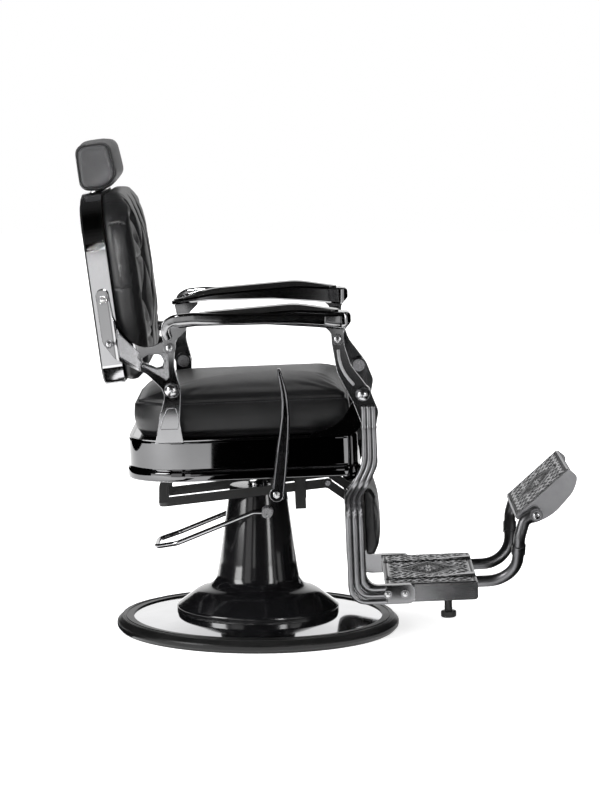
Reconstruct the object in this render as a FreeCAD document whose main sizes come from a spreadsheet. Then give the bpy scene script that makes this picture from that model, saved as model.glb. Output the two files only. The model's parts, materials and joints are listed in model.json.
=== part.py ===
import FreeCAD, Part
import os
import re
import Sketcher
from FreeCAD import Placement, Rotation, Vector

# A hydraulic barber chair: a round base with a pump, a swivelling and tilted seat,
# and a back, armrests and leg rest that recline together on a four-bar linkage.
# Millimetres. X is the sitter's forward, Y the sitter's left, Z up from the floor.

# Driving dimensions of the stand, measured from the floor
STAND = {
    "base_r": 320,
    "ring_top": 29,
    "ring_lip": 38,
    "ring_wall": 23,
    "ring_skin": 2.5,
    "floor_plate": 10,
    "boss_r": 72,
    "boss_top": 22,
    "cover_gauge": 2.5,
    "dish_rise": 15,
    "dish_hole_r": 150,
    "flange_r": 184,
    "bell_foot": 14,
    "bell_gauge": 4,
    "brow_in": 48,
    "brow_rise": 36,
    "shoulder_r": 97,
    "shoulder_z": 101,
    "waist_r": 88,
    "waist_z": 150,
    "column_r": 64,
    "column_top": 321,
    "cap_height": 4,
    "piston_r": 22,
    "piston_low": 60,
    "sleeve_wall": 8,
    "pump_x": 22,
    "pump_z": 274,
    "shaft_r": 8,
    "pump_boss_r": 13,
    "hub_r": 12,
    "hub_length": 21,
    "rod_sink": 3,
    "pedal_rod_r": 5.5,
    "pedal_reach": 233,
    "pedal_low": 191,
    "pedal_flat": 50,
}

# Driving dimensions of the seat, in the seat's own tilted frame
SEAT = {
    "mount_rise": 57,
    "seat_tilt": 2.3,
    "tilt_lift": 42,
    "mount_half": 76,
    "mount_gauge": 8,
    "mount_hub_r": 38,
    "mount_drop": 32,
    "tray_half": 170,
    "tray_height": 73,
    "tray_gauge": 6,
    "board_gauge": 12,
    "skirt_drop": 2,
    "skirt_gauge": 3,
    "skirt_ledge": 32,
    "pan_rear": 281,
    "pan_front": 222,
    "pan_half": 265,
    "rear_corner": 140,
    "front_corner": 30,
    "bead_height": 20,
    "bead_proud": 5,
    "cushion_in": 13,
    "cushion_crown": 118,
    "back_pin_x": -173,
    "back_pin_z": 206,
    "leg_pin_x": 237,
    "leg_pin_z": 180,
    "post_clear": 7,
    "post_gauge": 17,
    "side_gap": 1,
    "pin_r": 9,
    "eye_r": 18,
    "ball_r": 15.5,
}

# Driving dimensions of the back, whose frame leans with the back and starts at its pins
BACK = {
    "back_lean": 5.4,
    "back_rear": 150,
    "rim_front": 103,
    "rim_gauge": 3,
    "shell_gauge": 4,
    "back_half": 245,
    "back_low": 18,
    "back_top": 434,
    "back_top_corner": 120,
    "back_low_corner": 45,
    "back_board": 12,
    "back_pad": 78,
    "tuft_rise": 92,
    "tuft_step": 106,
    "tuft_r": 17,
    "tuft_depth": 9,
    "bracket_gauge": 16,
    "strip_gauge": 12,
    "bracket_bolt_low": 110,
    "bracket_bolt_high": 207,
    "bolt_line": 124,
    "rest_half": 135,
    "rest_gap": 6,
    "rest_tall": 101,
    "rest_rear": 150,
    "rest_front": 64,
    "rest_post_r": 6,
    "rest_post_half": 62,
    "rest_post_low": 318,
    "socket_low": 300,
    "socket_wall": 5,
}

# Driving dimensions of the armrests, in the seat's frame
ARMS = {
    "arm_rear_x": -173,
    "arm_rear_z": 298,
    "arm_front_x": 188,
    "arm_front_z": 303,
    "arm_pin_r": 5,
    "arm_eye_r": 13,
    "arm_lug": 14,
    "arm_head_r": 10,
    "open_play": 2.5,
    "arm_half": 31,
    "arm_out": 8,
    "arm_rear": 196,
    "arm_front": 218,
    "arm_rise": 36,
    "arm_deep": 30,
    "arm_arch": 7,
    "arm_nose": 24,
    "arm_tail": 9,
    "arm_pad": 12,
    "arm_pad_in": 5,
    "arm_pad_nose": 26,
}

# Driving dimensions of the leg rest, in the seat's frame
LEGS = {
    "leg_rear": 190,
    "leg_width": 41,
    "leg_low": 300,
    "leg_foot": 42,
    "leg_end": 338,
    "leg_half": 207,
    "leg_gauge": 20,
    "leg_heel": 60,
    "jog_high": 25,
    "jog_low": -48,
    "flare_high": -2,
    "flare_low": -72,
    "rib_proud": 3,
    "rib_wide": 5,
    "crossbar_x": 211,
    "crossbar_z": -86,
    "crossbar_r": 10,
    "calf_top": -45,
    "calf_low": -194,
    "calf_thick": 30,
    "calf_board": 12,
    "plate_rear": 272,
    "plate_front": 477,
    "plate_top": -262,
    "plate_gauge": 6,
    "plate_side": 39,
    "tube_r": 13,
    "tube_inset": 97,
    "tube_drop": 12.5,
    "tube_roof": 2.2,
    "ramp_long": 100,
    "ramp_rise": 6,
    "sleeve_long": 24,
    "sleeve_proud": 2.5,
    "channel_wall": 4,
    "toe_x": 611,
    "toe_z": -119,
    "toe_inset": 52,
    "cheek_gauge": 5,
    "toe_gauge": 8,
    "knob_x": 417,
    "knob_r": 17.5,
    "knob_low": -374,
    "knob_height": 15,
    "knob_neck": 9,
    "nut_tall": 24,
}

# Driving dimensions of the recline lock under the seat, in the seat's frame
LOCK = {
    "hoop_rear_x": -216,
    "hoop_rear_z": -74,
    "hoop_pin_x": 154,
    "hoop_pin_z": -43,
    "hoop_half": 84,
    "hoop_gauge": 8,
    "hoop_height": 20,
    "hoop_pin_r": 6,
    "hook_rise": 60,
    "hook_reach": 108,
    "lever_x": 43,
    "lever_z": -32,
    "lever_clear": 35,
    "lever_shaft_r": 7,
    "lever_top": 243,
    "lever_wide": 28,
    "lever_thick": 12,
    "guide_x": 92,
}

# Clearances shared by the fits
FITS = {
    "run": 0.06,
    "seat_fit": 0.3,
}

doc = FreeCAD.newDocument("BarberChair")
sheet = doc.addObject("Spreadsheet::Sheet", "Dims")
NAMES = {}
for family in (STAND, SEAT, BACK, ARMS, LEGS, LOCK, FITS):
    NAMES.update(family)
for row, (name, value) in enumerate(NAMES.items(), start=1):
    sheet.set("A%d" % row, name)
    sheet.set("B%d" % row, str(value))
    sheet.setAlias("B%d" % row, name)
doc.recompute()

NODES = {}


# Expressions

def words(text):
    """Point every driving dimension named in a formula at its sheet cell."""
    def cell(match):
        found = match.group(0)
        return "Dims." + found if found in NAMES else found
    return re.sub(r"[a-z][a-z0-9_]*", cell, str(text))


def num(text):
    """The present value of a formula."""
    return float(sheet.evalExpression(words(text)))


def bind(thing, **formulas):
    """Bind properties to formulas; a double underscore stands for a dot."""
    for name, formula in formulas.items():
        thing.setExpression(name.replace("__", "."), words(formula))
    return thing


def at(thing, x="0", y="0", z="0"):
    """Bind where an object stands."""
    return bind(thing, Placement__Base__x=x, Placement__Base__y=y, Placement__Base__z=z)


# Frames: the stand is upright, the seat tilts on its mount, the back leans on its pins

DATUM = "(column_top+mount_rise)"
SEAT_X = "tilt_lift*sin(seat_tilt)"
SEAT_Z = DATUM + "+tilt_lift*(1-cos(seat_tilt))"
BACK_X = SEAT_X + "+back_pin_x*cos(seat_tilt)-back_pin_z*sin(seat_tilt)"
BACK_Z = SEAT_Z + "+back_pin_x*sin(seat_tilt)+back_pin_z*cos(seat_tilt)"


def framed(thing, frame):
    """Stand a finished object in the frame it was drawn in."""
    if frame == "stand":
        return thing
    thing.Placement = Placement(Vector(0, 0, 0), Rotation(Vector(0, -1, 0), 1))
    if frame == "seat":
        at(thing, SEAT_X, "0", SEAT_Z)
        return bind(thing, Placement__Rotation__Angle="seat_tilt")
    at(thing, BACK_X, "0", BACK_Z)
    return bind(thing, Placement__Rotation__Angle="seat_tilt+back_lean")


def node(thing, label, frame="stand"):
    """Name a finished sub-part and put it in its frame."""
    thing.Label = label
    framed(thing, frame)
    NODES[label] = thing
    return thing


def mirrored(label, source):
    """The left-hand twin of a right-hand sub-part."""
    twin = doc.addObject("Part::Mirroring", label)
    twin.Source = source
    twin.Normal = (0, 1, 0)
    twin.Base = (0, 0, 0)
    twin.Label = label
    NODES[label] = twin
    return twin


# Sketches

TURN = {
    "XY": Rotation(),
    "XZ": Rotation(Vector(1, 0, 0), 90),
    "YZ": Rotation(Vector(1, 1, 1), 120),
}
NORMAL = {"XY": "z", "XZ": "y", "YZ": "x"}


def new_sketch(name, plane, offset, body):
    if body is not None:
        sketch = body.newObject("Sketcher::SketchObject", name)
        support = [f for f in body.Origin.OriginFeatures if f.Role == plane + "_Plane"][0]
        sketch.AttachmentSupport = [(support, "")]
        sketch.MapMode = "FlatFace"
        return sketch
    sketch = doc.addObject("Sketcher::SketchObject", name)
    sketch.Placement = Placement(Vector(0, 0, 0), TURN[plane])
    sketch.setExpression("Placement.Base." + NORMAL[plane], words(offset))
    return sketch


def outline(name, plane, corners, offset="0", body=None):
    """A closed outline through corners (x, y) or, where rounded, (x, y, radius)."""
    sketch = new_sketch(name, plane, offset, body)
    spots = [Vector(num(c[0]), num(c[1]), 0) for c in corners]
    count = len(corners)
    ends = []
    for i, corner in enumerate(corners):
        before = (spots[i - 1] - spots[i]).normalize()
        after = (spots[(i + 1) % count] - spots[i]).normalize()
        if len(corner) < 3:
            ends.append((spots[i], spots[i], None))
            continue
        radius = num(corner[2])
        reach = radius * (1 + before * after) / before.cross(after).Length
        middle = (before + after).normalize()
        centre = spots[i] + middle * (radius ** 2 + reach ** 2) ** 0.5
        ends.append((spots[i] + before * reach, spots[i] + after * reach, (centre, radius)))
    lines = []
    for i in range(count):
        start = ends[i][1]
        stop = ends[(i + 1) % count][0]
        lines.append(sketch.addGeometry(Part.LineSegment(start, stop)))
    rules = []
    formulas = []

    def rule(*terms, formula=None):
        if formula is not None:
            formulas.append((len(rules), formula))
        rules.append(Sketcher.Constraint(*terms))

    for i, corner in enumerate(corners):
        came = lines[i - 1]
        goes = lines[i]
        if ends[i][2] is None:
            rule("Coincident", came, 2, goes, 1)
            rule("DistanceX", -1, 1, goes, 1, spots[i].x, formula=corner[0])
            rule("DistanceY", -1, 1, goes, 1, spots[i].y, formula=corner[1])
            continue
        centre, radius = ends[i][2]
        first = ends[i][0] - centre
        second = ends[i][1] - centre
        left_turn = first.cross(second).z > 0
        low, high = (first, second) if left_turn else (second, first)
        circle = Part.Circle(centre, Vector(0, 0, 1), radius)
        arc = sketch.addGeometry(Part.ArcOfCircle(circle, circle.parameter(centre + low),
                                                  circle.parameter(centre + high)))
        mark = sketch.addGeometry(Part.Point(spots[i]))
        rule("Tangent", came, 2, arc, 1 if left_turn else 2)
        rule("Tangent", goes, 1, arc, 2 if left_turn else 1)
        rule("Radius", arc, radius, formula=corner[2])
        rule("PointOnObject", mark, 1, came)
        rule("PointOnObject", mark, 1, goes)
        rule("DistanceX", -1, 1, mark, 1, spots[i].x, formula=corner[0])
        rule("DistanceY", -1, 1, mark, 1, spots[i].y, formula=corner[1])
        sketch.setConstruction(mark, True)
    sketch.addConstraint(rules)
    for index, formula in formulas:
        sketch.setExpression("Constraints[%d]" % index, words(formula))
    return sketch


def bowed(name, plane, stations, offset="0"):
    """A closed outline of arcs: each station is (x, y, bow of the side that leaves it)."""
    sketch = new_sketch(name, plane, offset, None)
    spots = [Vector(num(s[0]), num(s[1]), 0) for s in stations]
    count = len(stations)
    sides = []
    for i, station in enumerate(stations):
        a = spots[i]
        b = spots[(i + 1) % count]
        bow = num(station[2])
        if bow == 0:
            sides.append((sketch.addGeometry(Part.LineSegment(a, b)), 1, 2))
            continue
        out = Vector((b - a).y, -(b - a).x, 0).normalize()
        middle = (a + b) * 0.5 + out * bow
        if bow > 0:
            sides.append((sketch.addGeometry(Part.Arc(a, middle, b)), 1, 2))
        else:
            sides.append((sketch.addGeometry(Part.Arc(b, middle, a)), 2, 1))
    rules = []
    formulas = []
    for i, station in enumerate(stations):
        side, start, stop = sides[i]
        after = sides[(i + 1) % count]
        rules.append(Sketcher.Constraint("Coincident", side, stop, after[0], after[1]))
        formulas.append((len(rules), station[0]))
        rules.append(Sketcher.Constraint("DistanceX", -1, 1, side, start, spots[i].x))
        formulas.append((len(rules), station[1]))
        rules.append(Sketcher.Constraint("DistanceY", -1, 1, side, start, spots[i].y))
        if num(station[2]) == 0:
            continue
        nxt = stations[(i + 1) % count]
        span = "((({0})-({1}))^2+(({2})-({3}))^2)".format(nxt[0], station[0], nxt[1], station[1])
        radius = "({0}/4+({1})^2)/(2*abs({1}))".format(span, station[2])
        formulas.append((len(rules), radius))
        rules.append(Sketcher.Constraint("Radius", side, num(radius)))
    sketch.addConstraint(rules)
    for index, formula in formulas:
        sketch.setExpression("Constraints[%d]" % index, words(formula))
    return sketch


# Solids

AXIS = {
    "X": Rotation(Vector(0, 1, 0), 90),
    "Y": Rotation(Vector(1, 0, 0), -90),
    "Z": Rotation(),
}


def rod(name, axis, radius, length, x="0", y="0", z="0"):
    """A cylinder that starts at a point and runs along an axis."""
    made = doc.addObject("Part::Cylinder", name)
    made.Placement = Placement(Vector(0, 0, 0), AXIS[axis])
    bind(made, Radius=radius, Height=length)
    return at(made, x, y, z)


def block(name, size, x="0", y="0", z="0"):
    """A box from its low corner."""
    made = doc.addObject("Part::Box", name)
    bind(made, Length=size[0], Width=size[1], Height=size[2])
    return at(made, x, y, z)


def ball(name, radius, x="0", y="0", z="0"):
    made = doc.addObject("Part::Sphere", name)
    bind(made, Radius=radius)
    return at(made, x, y, z)


def drawn(name, sketch, length, both=False):
    """A sketch pushed along its own normal."""
    made = doc.addObject("Part::Extrusion", name)
    made.Base = sketch
    made.DirMode = "Normal"
    made.Solid = True
    made.Symmetric = both
    return bind(made, LengthFwd=length)


def turned(name, profile):
    """A body revolved about Z from a profile of radius and height."""
    body = doc.addObject("PartDesign::Body", name)
    sketch = outline(name + "_profile", "XZ", profile, body=body)
    spin = body.newObject("PartDesign::Revolution", name + "_turn")
    spin.Profile = sketch
    spin.ReferenceAxis = (sketch, ["V_Axis"])
    spin.Angle = 360
    body.Tip = spin
    return body


def plate(name, plane, corners, gauge, offset="0"):
    """A body padded from an outline along the plane's normal."""
    body = doc.addObject("PartDesign::Body", name)
    sketch = outline(name + "_outline", plane, corners, body=body)
    bind(sketch, AttachmentOffset__Base__z=offset)
    pad = body.newObject("PartDesign::Pad", name + "_pad")
    pad.Profile = sketch
    bind(pad, Length=gauge)
    body.Tip = pad
    return body


def loft(name, sections, ruled=True):
    made = doc.addObject("Part::Loft", name)
    made.Sections = sections
    made.Solid = True
    made.Ruled = ruled
    return made


def cut(name, base, tool):
    made = doc.addObject("Part::Cut", name)
    made.Base = base
    made.Tool = tool
    return made


def fuse(name, pieces):
    made = doc.addObject("Part::MultiFuse", name)
    made.Shapes = pieces
    return made


def common(name, pieces):
    made = doc.addObject("Part::MultiCommon", name)
    made.Shapes = pieces
    return made


def group(name, pieces):
    made = doc.addObject("Part::Compound", name)
    made.Links = pieces
    return made


def bent_rod(name, points, bends, radius):
    """A round rod along straight runs joined by bends of the given radii."""
    spots = [Vector(num(x), num(y), num(z)) for x, y, z in points]
    edges = []
    here = spots[0]
    for i in range(1, len(spots) - 1):
        before = (spots[i - 1] - spots[i]).normalize()
        after = (spots[i + 1] - spots[i]).normalize()
        bend = num(bends[i - 1])
        reach = bend * (1 + before * after) / before.cross(after).Length
        middle = (before + after).normalize()
        deep = (bend ** 2 + reach ** 2) ** 0.5 - bend
        start = spots[i] + before * reach
        stop = spots[i] + after * reach
        edges.append(Part.makeLine(here, start))
        edges.append(Part.Arc(start, spots[i] + middle * deep, stop).toShape())
        here = stop
    edges.append(Part.makeLine(here, spots[-1]))
    spine = Part.Wire(edges)
    ring = Part.Wire(Part.makeCircle(num(radius), spots[0], spots[1] - spots[0]))
    made = doc.addObject("Part::Feature", name)
    made.Shape = spine.makePipeShell([ring], True, False)
    return made


# The base: floor plate, chrome dish and rubber ring

RIM_TOP = "(ring_top-ring_skin-seat_fit)"
DISH_TURN = "(base_r-ring_lip-1)"
COVER_R = "(base_r-ring_wall-2)"


def dish_height(radius):
    """How high the dish stands at a radius inside its rim."""
    return "({0}+dish_rise*({1}-({2}))/({1}-dish_hole_r))".format(RIM_TOP, DISH_TURN, radius)


def base_plate():
    node(turned("base_plate", [
        ("0", "0"), ("base_r-ring_wall-1", "0"), ("base_r-ring_wall-1", "floor_plate"),
        ("boss_r", "floor_plate"), ("boss_r", "boss_top"), ("0", "boss_top"),
    ]), "base_plate")


def base_ring():
    node(turned("base_ring", [
        ("base_r-ring_wall", "0"), ("base_r-7", "0"), ("base_r", "8", "5"),
        ("base_r", "ring_top-11", "6"), ("base_r-13", "ring_top", "12"),
        ("base_r-ring_lip", "ring_top", "1"), ("base_r-ring_lip", "ring_top-ring_skin"),
        ("base_r-ring_wall", "ring_top-ring_skin"),
    ]), "base_ring")


def base_cover():
    end_z = RIM_TOP + "+dish_rise"
    node(turned("base_cover", [
        (COVER_R, "floor_plate"), (COVER_R, RIM_TOP, "3"), (DISH_TURN, RIM_TOP),
        ("dish_hole_r", end_z), ("dish_hole_r", end_z + "-cover_gauge"),
        (DISH_TURN, RIM_TOP + "-cover_gauge"), (COVER_R + "-cover_gauge", RIM_TOP + "-cover_gauge"),
        (COVER_R + "-cover_gauge", "floor_plate"),
    ]), "base_cover")


# The column: bell-shaped cover, chrome cap and the pump inside

BELL_LOW = dish_height("flange_r-bell_gauge")
COLUMN_AT_PUMP = "(waist_r+(column_r-waist_r)*(pump_z-waist_z)/(column_top-waist_z))"
BOSS_END = "(" + COLUMN_AT_PUMP + "+1.5)"
ROD_Y = "(" + BOSS_END + "+hub_length*0.45)"


def column_cover():
    low = BELL_LOW
    foot = BELL_LOW + "+bell_foot"
    bell = turned("column_bell", [
        ("flange_r", low), ("flange_r", foot, "7"),
        ("flange_r-brow_in", foot + "+brow_rise", "70"), ("shoulder_r", "shoulder_z", "34"),
        ("waist_r", "waist_z", "160"), ("column_r", "column_top"),
        ("column_r-bell_gauge", "column_top"), ("waist_r-bell_gauge", "waist_z", "160"),
        ("shoulder_r-bell_gauge", "shoulder_z-bell_gauge", "36"),
        ("flange_r-brow_in-bell_gauge*0.6", foot + "+brow_rise-bell_gauge", "68"),
        ("flange_r-bell_gauge", foot + "-bell_gauge*0.6", "4"), ("flange_r-bell_gauge", low),
    ])
    hole = rod("column_shaft_hole", "Y", "pump_boss_r+1", "4*waist_r", "pump_x", "-2*waist_r", "pump_z")
    node(cut("column_cover", bell, hole), "column_cover")


def column_cap():
    node(turned("column_cap", [
        ("piston_r+2", "column_top"), ("piston_r+2", "column_top+cap_height"),
        ("column_r-1", "column_top+cap_height", "1.5"), ("column_r", "column_top"),
        ("column_r-bell_gauge-seat_fit", "column_top"),
        ("column_r-bell_gauge-seat_fit", "column_top-10"),
        ("column_r-bell_gauge-5", "column_top-10"), ("column_r-bell_gauge-5", "column_top"),
    ]), "column_cap")


def pump_cylinder():
    wall = "piston_r+sleeve_wall"
    flange = "boss_top+12"
    node(turned("pump_cylinder", [
        ("0", "boss_top"), ("boss_r-8", "boss_top"), ("boss_r-8", flange), (wall, flange, "4"),
        (wall, "column_top"), ("piston_r+run", "column_top"),
        ("piston_r+run", "column_top-52"), ("piston_r+2", "column_top-55"),
        ("piston_r+2", flange + "+4"), ("0", flange + "+4"),
    ]), "pump_cylinder")


def pump_bolts():
    heads = []
    for i in range(4):
        angle = 45 + 90 * i
        x = "(boss_r-18)*cos(%d)" % angle
        y = "(boss_r-18)*sin(%d)" % angle
        heads.append(rod("pump_bolt_%d" % i, "Z", "7", "6", x, y, "boss_top+12"))
    node(group("pump_bolts", heads), "pump_bolts")


def pump_block():
    wall = "piston_r+sleeve_wall"
    collar = rod("pump_collar", "Z", wall + "+14", "44", "0", "0", "pump_z-22")
    boss = rod("pump_boss", "Y", "pump_boss_r", "2*" + BOSS_END, "pump_x", "-" + BOSS_END, "pump_z")
    bore = rod("pump_block_bore", "Z", wall + "+0.05", "60", "0", "0", "pump_z-30")
    shaft = rod("pump_block_shaft", "Y", "shaft_r+run", "4*column_r", "pump_x", "-2*column_r", "pump_z")
    solid = fuse("pump_block_body", [collar, boss])
    node(cut("pump_block", solid, fuse("pump_block_bores", [bore, shaft])), "pump_block")


def pump_lever():
    start = "(piston_r+sleeve_wall+4)"
    length = BOSS_END + "+14-" + start
    shafts = [
        rod("pump_shaft_right", "Y", "shaft_r", length, "pump_x", "-" + BOSS_END + "-14", "pump_z"),
        rod("pump_shaft_left", "Y", "shaft_r", length, "pump_x", start, "pump_z"),
    ]
    node(group("pump_shafts", shafts), "pump_shafts")
    hub = rod("hub_round", "Y", "hub_r", "hub_length", "pump_x", "-" + BOSS_END + "-0.5-hub_length",
            "pump_z")
    seat = rod("hub_bore", "Y", "shaft_r", "14", "pump_x", "-" + BOSS_END + "-14", "pump_z")
    socket = rod("hub_socket", "Y", "3.5", "4", "pump_x", "-" + BOSS_END + "-0.5-hub_length", "pump_z")
    rod_seat = rod("hub_rod_seat", "X", "pedal_rod_r+run", "hub_r", "pump_x-2*hub_r+rod_sink",
            "-" + ROD_Y, "pump_z")
    right = cut("hub_right", hub, fuse("hub_holes", [seat, socket, rod_seat]))
    left = doc.addObject("Part::Mirroring", "hub_left")
    left.Source = right
    left.Normal = (0, 1, 0)
    left.Base = (0, 0, 0)
    node(group("pedal_hubs", [right, left]), "pedal_hubs")
    knee_x = "pump_x-hub_r-18"
    toe_x = "-pedal_reach+52"
    bar_x = "-pedal_reach+pedal_rod_r"
    near = [
        ("pump_x-hub_r+rod_sink-0.2", "-" + ROD_Y, "pump_z"), (knee_x, "-" + ROD_Y, "pump_z"),
        (toe_x, "-" + ROD_Y + "+3", "pedal_low+12"), (bar_x, "-pedal_flat", "pedal_low"),
    ]
    far = [(x, "-(" + y + ")", z) for x, y, z in reversed(near)]
    node(bent_rod("pump_pedal", near + far, ["24", "26", "26", "26", "26", "24"], "pedal_rod_r"),
            "pump_pedal")


def piston():
    top = DATUM + "-mount_gauge-4-piston_low"
    node(rod("piston", "Z", "piston_r", top, "0", "0", "piston_low"), "piston")
    node(rod("thrust_washer", "Z", "piston_r-2", "3", "0", "0", DATUM + "-mount_gauge-4"),
            "thrust_washer")


# The seat: mount, tray, board, skirt and cushion

BOARD_LOW = "tray_height"
LEDGE = "(tray_height+board_gauge+skirt_gauge)"


def seat_mount():
    hub = rod("mount_hub", "Z", "mount_hub_r", "mount_drop-4", "0", "0", DATUM + "-mount_drop")
    slab = block("mount_slab", ("2*mount_half", "2*mount_half", "mount_gauge"),
                 "-mount_half", "-mount_half", "-mount_gauge")
    foot = framed(group("mount_foot", [slab]), "seat")
    socket = rod("mount_socket", "Z", "piston_r+run", "mount_drop-mount_gauge-0.5", "0", "0",
            DATUM + "-mount_drop")
    node(cut("seat_mount", fuse("mount_body", [hub, foot]), socket), "seat_mount")
    heads = []
    for i, (sx, sy) in enumerate(((1, 1), (1, -1), (-1, 1), (-1, -1))):
        heads.append(rod("mount_bolt_%d" % i, "Z", "8", "7", "%d*(mount_half-18)" % sx,
                         "%d*(mount_half-18)" % sy, "-mount_gauge-7"))
    node(group("mount_bolts", heads), "mount_bolts", "seat")


def seat_tray():
    outer = block("tray_outer", ("2*tray_half", "2*tray_half", "tray_height"), "-tray_half", "-tray_half")
    inner = block("tray_inner", ("2*(tray_half-tray_gauge)", "2*(tray_half-tray_gauge)", "tray_height"),
                  "-tray_half+tray_gauge", "-tray_half+tray_gauge", "tray_gauge")
    node(cut("seat_tray", outer, inner), "seat_tray", "seat")


def pan_corners(grow):
    """The plan of the seat, grown outward from the skirt's wall."""
    half = "pan_half+(%s)" % grow
    rear = "-pan_rear-(%s)" % grow
    front = "pan_front+(%s)" % grow
    back_round = "rear_corner+(%s)" % grow
    front_round = "front_corner+max(%s;-front_corner*0.6)" % grow
    return [
        (rear, "-(" + half + ")", back_round), (front, "-(" + half + ")", front_round),
        (front, half, front_round), (rear, half, back_round),
    ]


def pan_solid(name, grow, low, high):
    sketch = outline(name + "_plan", "XY", pan_corners(grow), offset=low)
    return drawn(name, sketch, "(%s)-(%s)" % (high, low))


def seat_board():
    node(plate("seat_board", "XY", pan_corners("-skirt_gauge-1"), "board_gauge", BOARD_LOW), "seat_board",
            "seat")


def seat_skirt():
    wall = pan_solid("skirt_wall", "0", "-skirt_drop", LEDGE)
    bead = pan_solid("skirt_bead", "bead_proud", "-skirt_drop", "bead_height-skirt_drop")
    inside = pan_solid("skirt_inside", "-skirt_gauge", "-skirt_drop-1", LEDGE + "-skirt_gauge")
    mouth = pan_solid("skirt_mouth", "-skirt_ledge", LEDGE + "-skirt_gauge-2", LEDGE + "+1")
    solid = fuse("skirt_body", [wall, bead])
    node(cut("seat_skirt", solid, fuse("skirt_hollow", [inside, mouth])), "seat_skirt", "seat")


def seat_cushion():
    low = LEDGE + "+seat_fit"
    levels = [("16", "0"), ("5", "14"), ("0", "42"), ("2", "70"), ("10", "88"), ("26", "104"),
            ("60", "122")]
    rings = []
    for i, (inset, rise) in enumerate(levels):
        rings.append(outline("cushion_ring_%d" % i, "XY", pan_corners("-cushion_in-" + inset),
                             offset=low + "+" + rise))
    body = loft("cushion_body", rings)
    crown = LEDGE + "+cushion_crown"
    along = bowed("cushion_along", "XZ", [
        ("-pan_rear-10", low + "-10", "0"), ("pan_front+20", low + "-10", "0"),
        ("pan_front+20", low + "+58", "16"), ("pan_front-70", crown + "-3", "4"),
        ("-pan_rear+130", crown + "-6", "14"), ("-pan_rear-10", low + "+52", "0"),
    ], offset="pan_half+20")
    across = bowed("cushion_across", "YZ", [
        ("-pan_half-15", low + "-10", "0"), ("pan_half+15", low + "-10", "0"),
        ("pan_half+15", low + "+66", "10"), ("pan_half-75", crown + "-13", "13"),
        ("-pan_half+75", crown + "-13", "10"), ("-pan_half-15", low + "+66", "0"),
    ], offset="-pan_rear-20")
    vault = drawn("cushion_vault", along, "2*(pan_half+20)")
    arch = drawn("cushion_arch", across, "pan_rear+pan_front+60")
    node(common("seat_cushion", [body, vault, arch]), "seat_cushion", "seat")


# The side castings that carry the back and the leg rest, with their pins

POST_INNER = "(pan_half+post_clear)"
POST_OUTER = "(pan_half+post_clear+post_gauge)"
SWING_INNER = "(pan_half+post_clear+post_gauge+side_gap)"
SWING_OUTER = "(pan_half+post_clear+post_gauge+side_gap+bracket_gauge)"
ARM_AXIS = "(" + SWING_OUTER + "+arm_out)"
LEVER_Y = "(pan_half+lever_clear)"


def side_strip(name, top):
    """The bent wall of a casting: a foot on the skirt's ledge and an upright outside it."""
    return drawn(name, outline(name + "_bend", "YZ", [
        ("-" + POST_OUTER, LEDGE), ("-pan_half+12", LEDGE), ("-pan_half+12", LEDGE + "+10", "3"),
        ("-" + POST_INNER, LEDGE + "+10", "5"), ("-" + POST_INNER, top), ("-" + POST_OUTER, top),
    ], offset="-pan_rear"), "pan_rear+2*pan_front")


def rear_post():
    x = "back_pin_x"
    z = "back_pin_z"
    side = drawn("rear_post_side", outline("rear_post_outline", "XZ", [
        (x + "-42", LEDGE), (x + "+19", LEDGE), (x + "+13", LEDGE + "+45", "60"),
        (x + "+eye_r", z + "-10", "16"), (x + "+eye_r", z + "+eye_r", "eye_r-0.5"),
        (x + "-eye_r", z + "+eye_r", "eye_r-0.5"), (x + "-eye_r", z + "-24", "40"),
        (x + "-31", LEDGE + "+52", "40"), (x + "-37", LEDGE + "+20", "20"),
    ]), POST_OUTER + "+20")
    hole = rod("rear_post_hole", "Y", "pin_r", "100", x, "-" + POST_OUTER + "-40", z)
    shaped = common("rear_post_shape", [side, side_strip("rear_post_strip", z + "+eye_r+5")])
    right = node(cut("rear_post_right", shaped, hole), "rear_post_right", "seat")
    mirrored("rear_post_left", right)


def front_lug():
    x = "leg_pin_x"
    z = "leg_pin_z"
    side = drawn("front_lug_side", outline("front_lug_outline", "XZ", [
        (x + "-119", LEDGE), (x + "-24", LEDGE), (x + "-1", LEDGE + "+27", "30"),
        (x + "+eye_r", z + "-14", "20"), (x + "+eye_r", z + "+eye_r", "eye_r-0.5"),
        (x + "-eye_r", z + "+eye_r", "eye_r-0.5"), (x + "-eye_r-2", z + "-16", "20"),
        (x + "-50", LEDGE + "+28", "70"), (x + "-112", LEDGE + "+7", "20"),
    ]), POST_OUTER + "+20")
    hole = rod("front_lug_hole", "Y", "pin_r", "100", x, "-" + POST_OUTER + "-40", z)
    shaped = common("front_lug_shape", [side, side_strip("front_lug_strip", z + "+eye_r+5")])
    right = node(cut("front_lug_right", shaped, hole), "front_lug_right", "seat")
    mirrored("front_lug_left", right)


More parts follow.
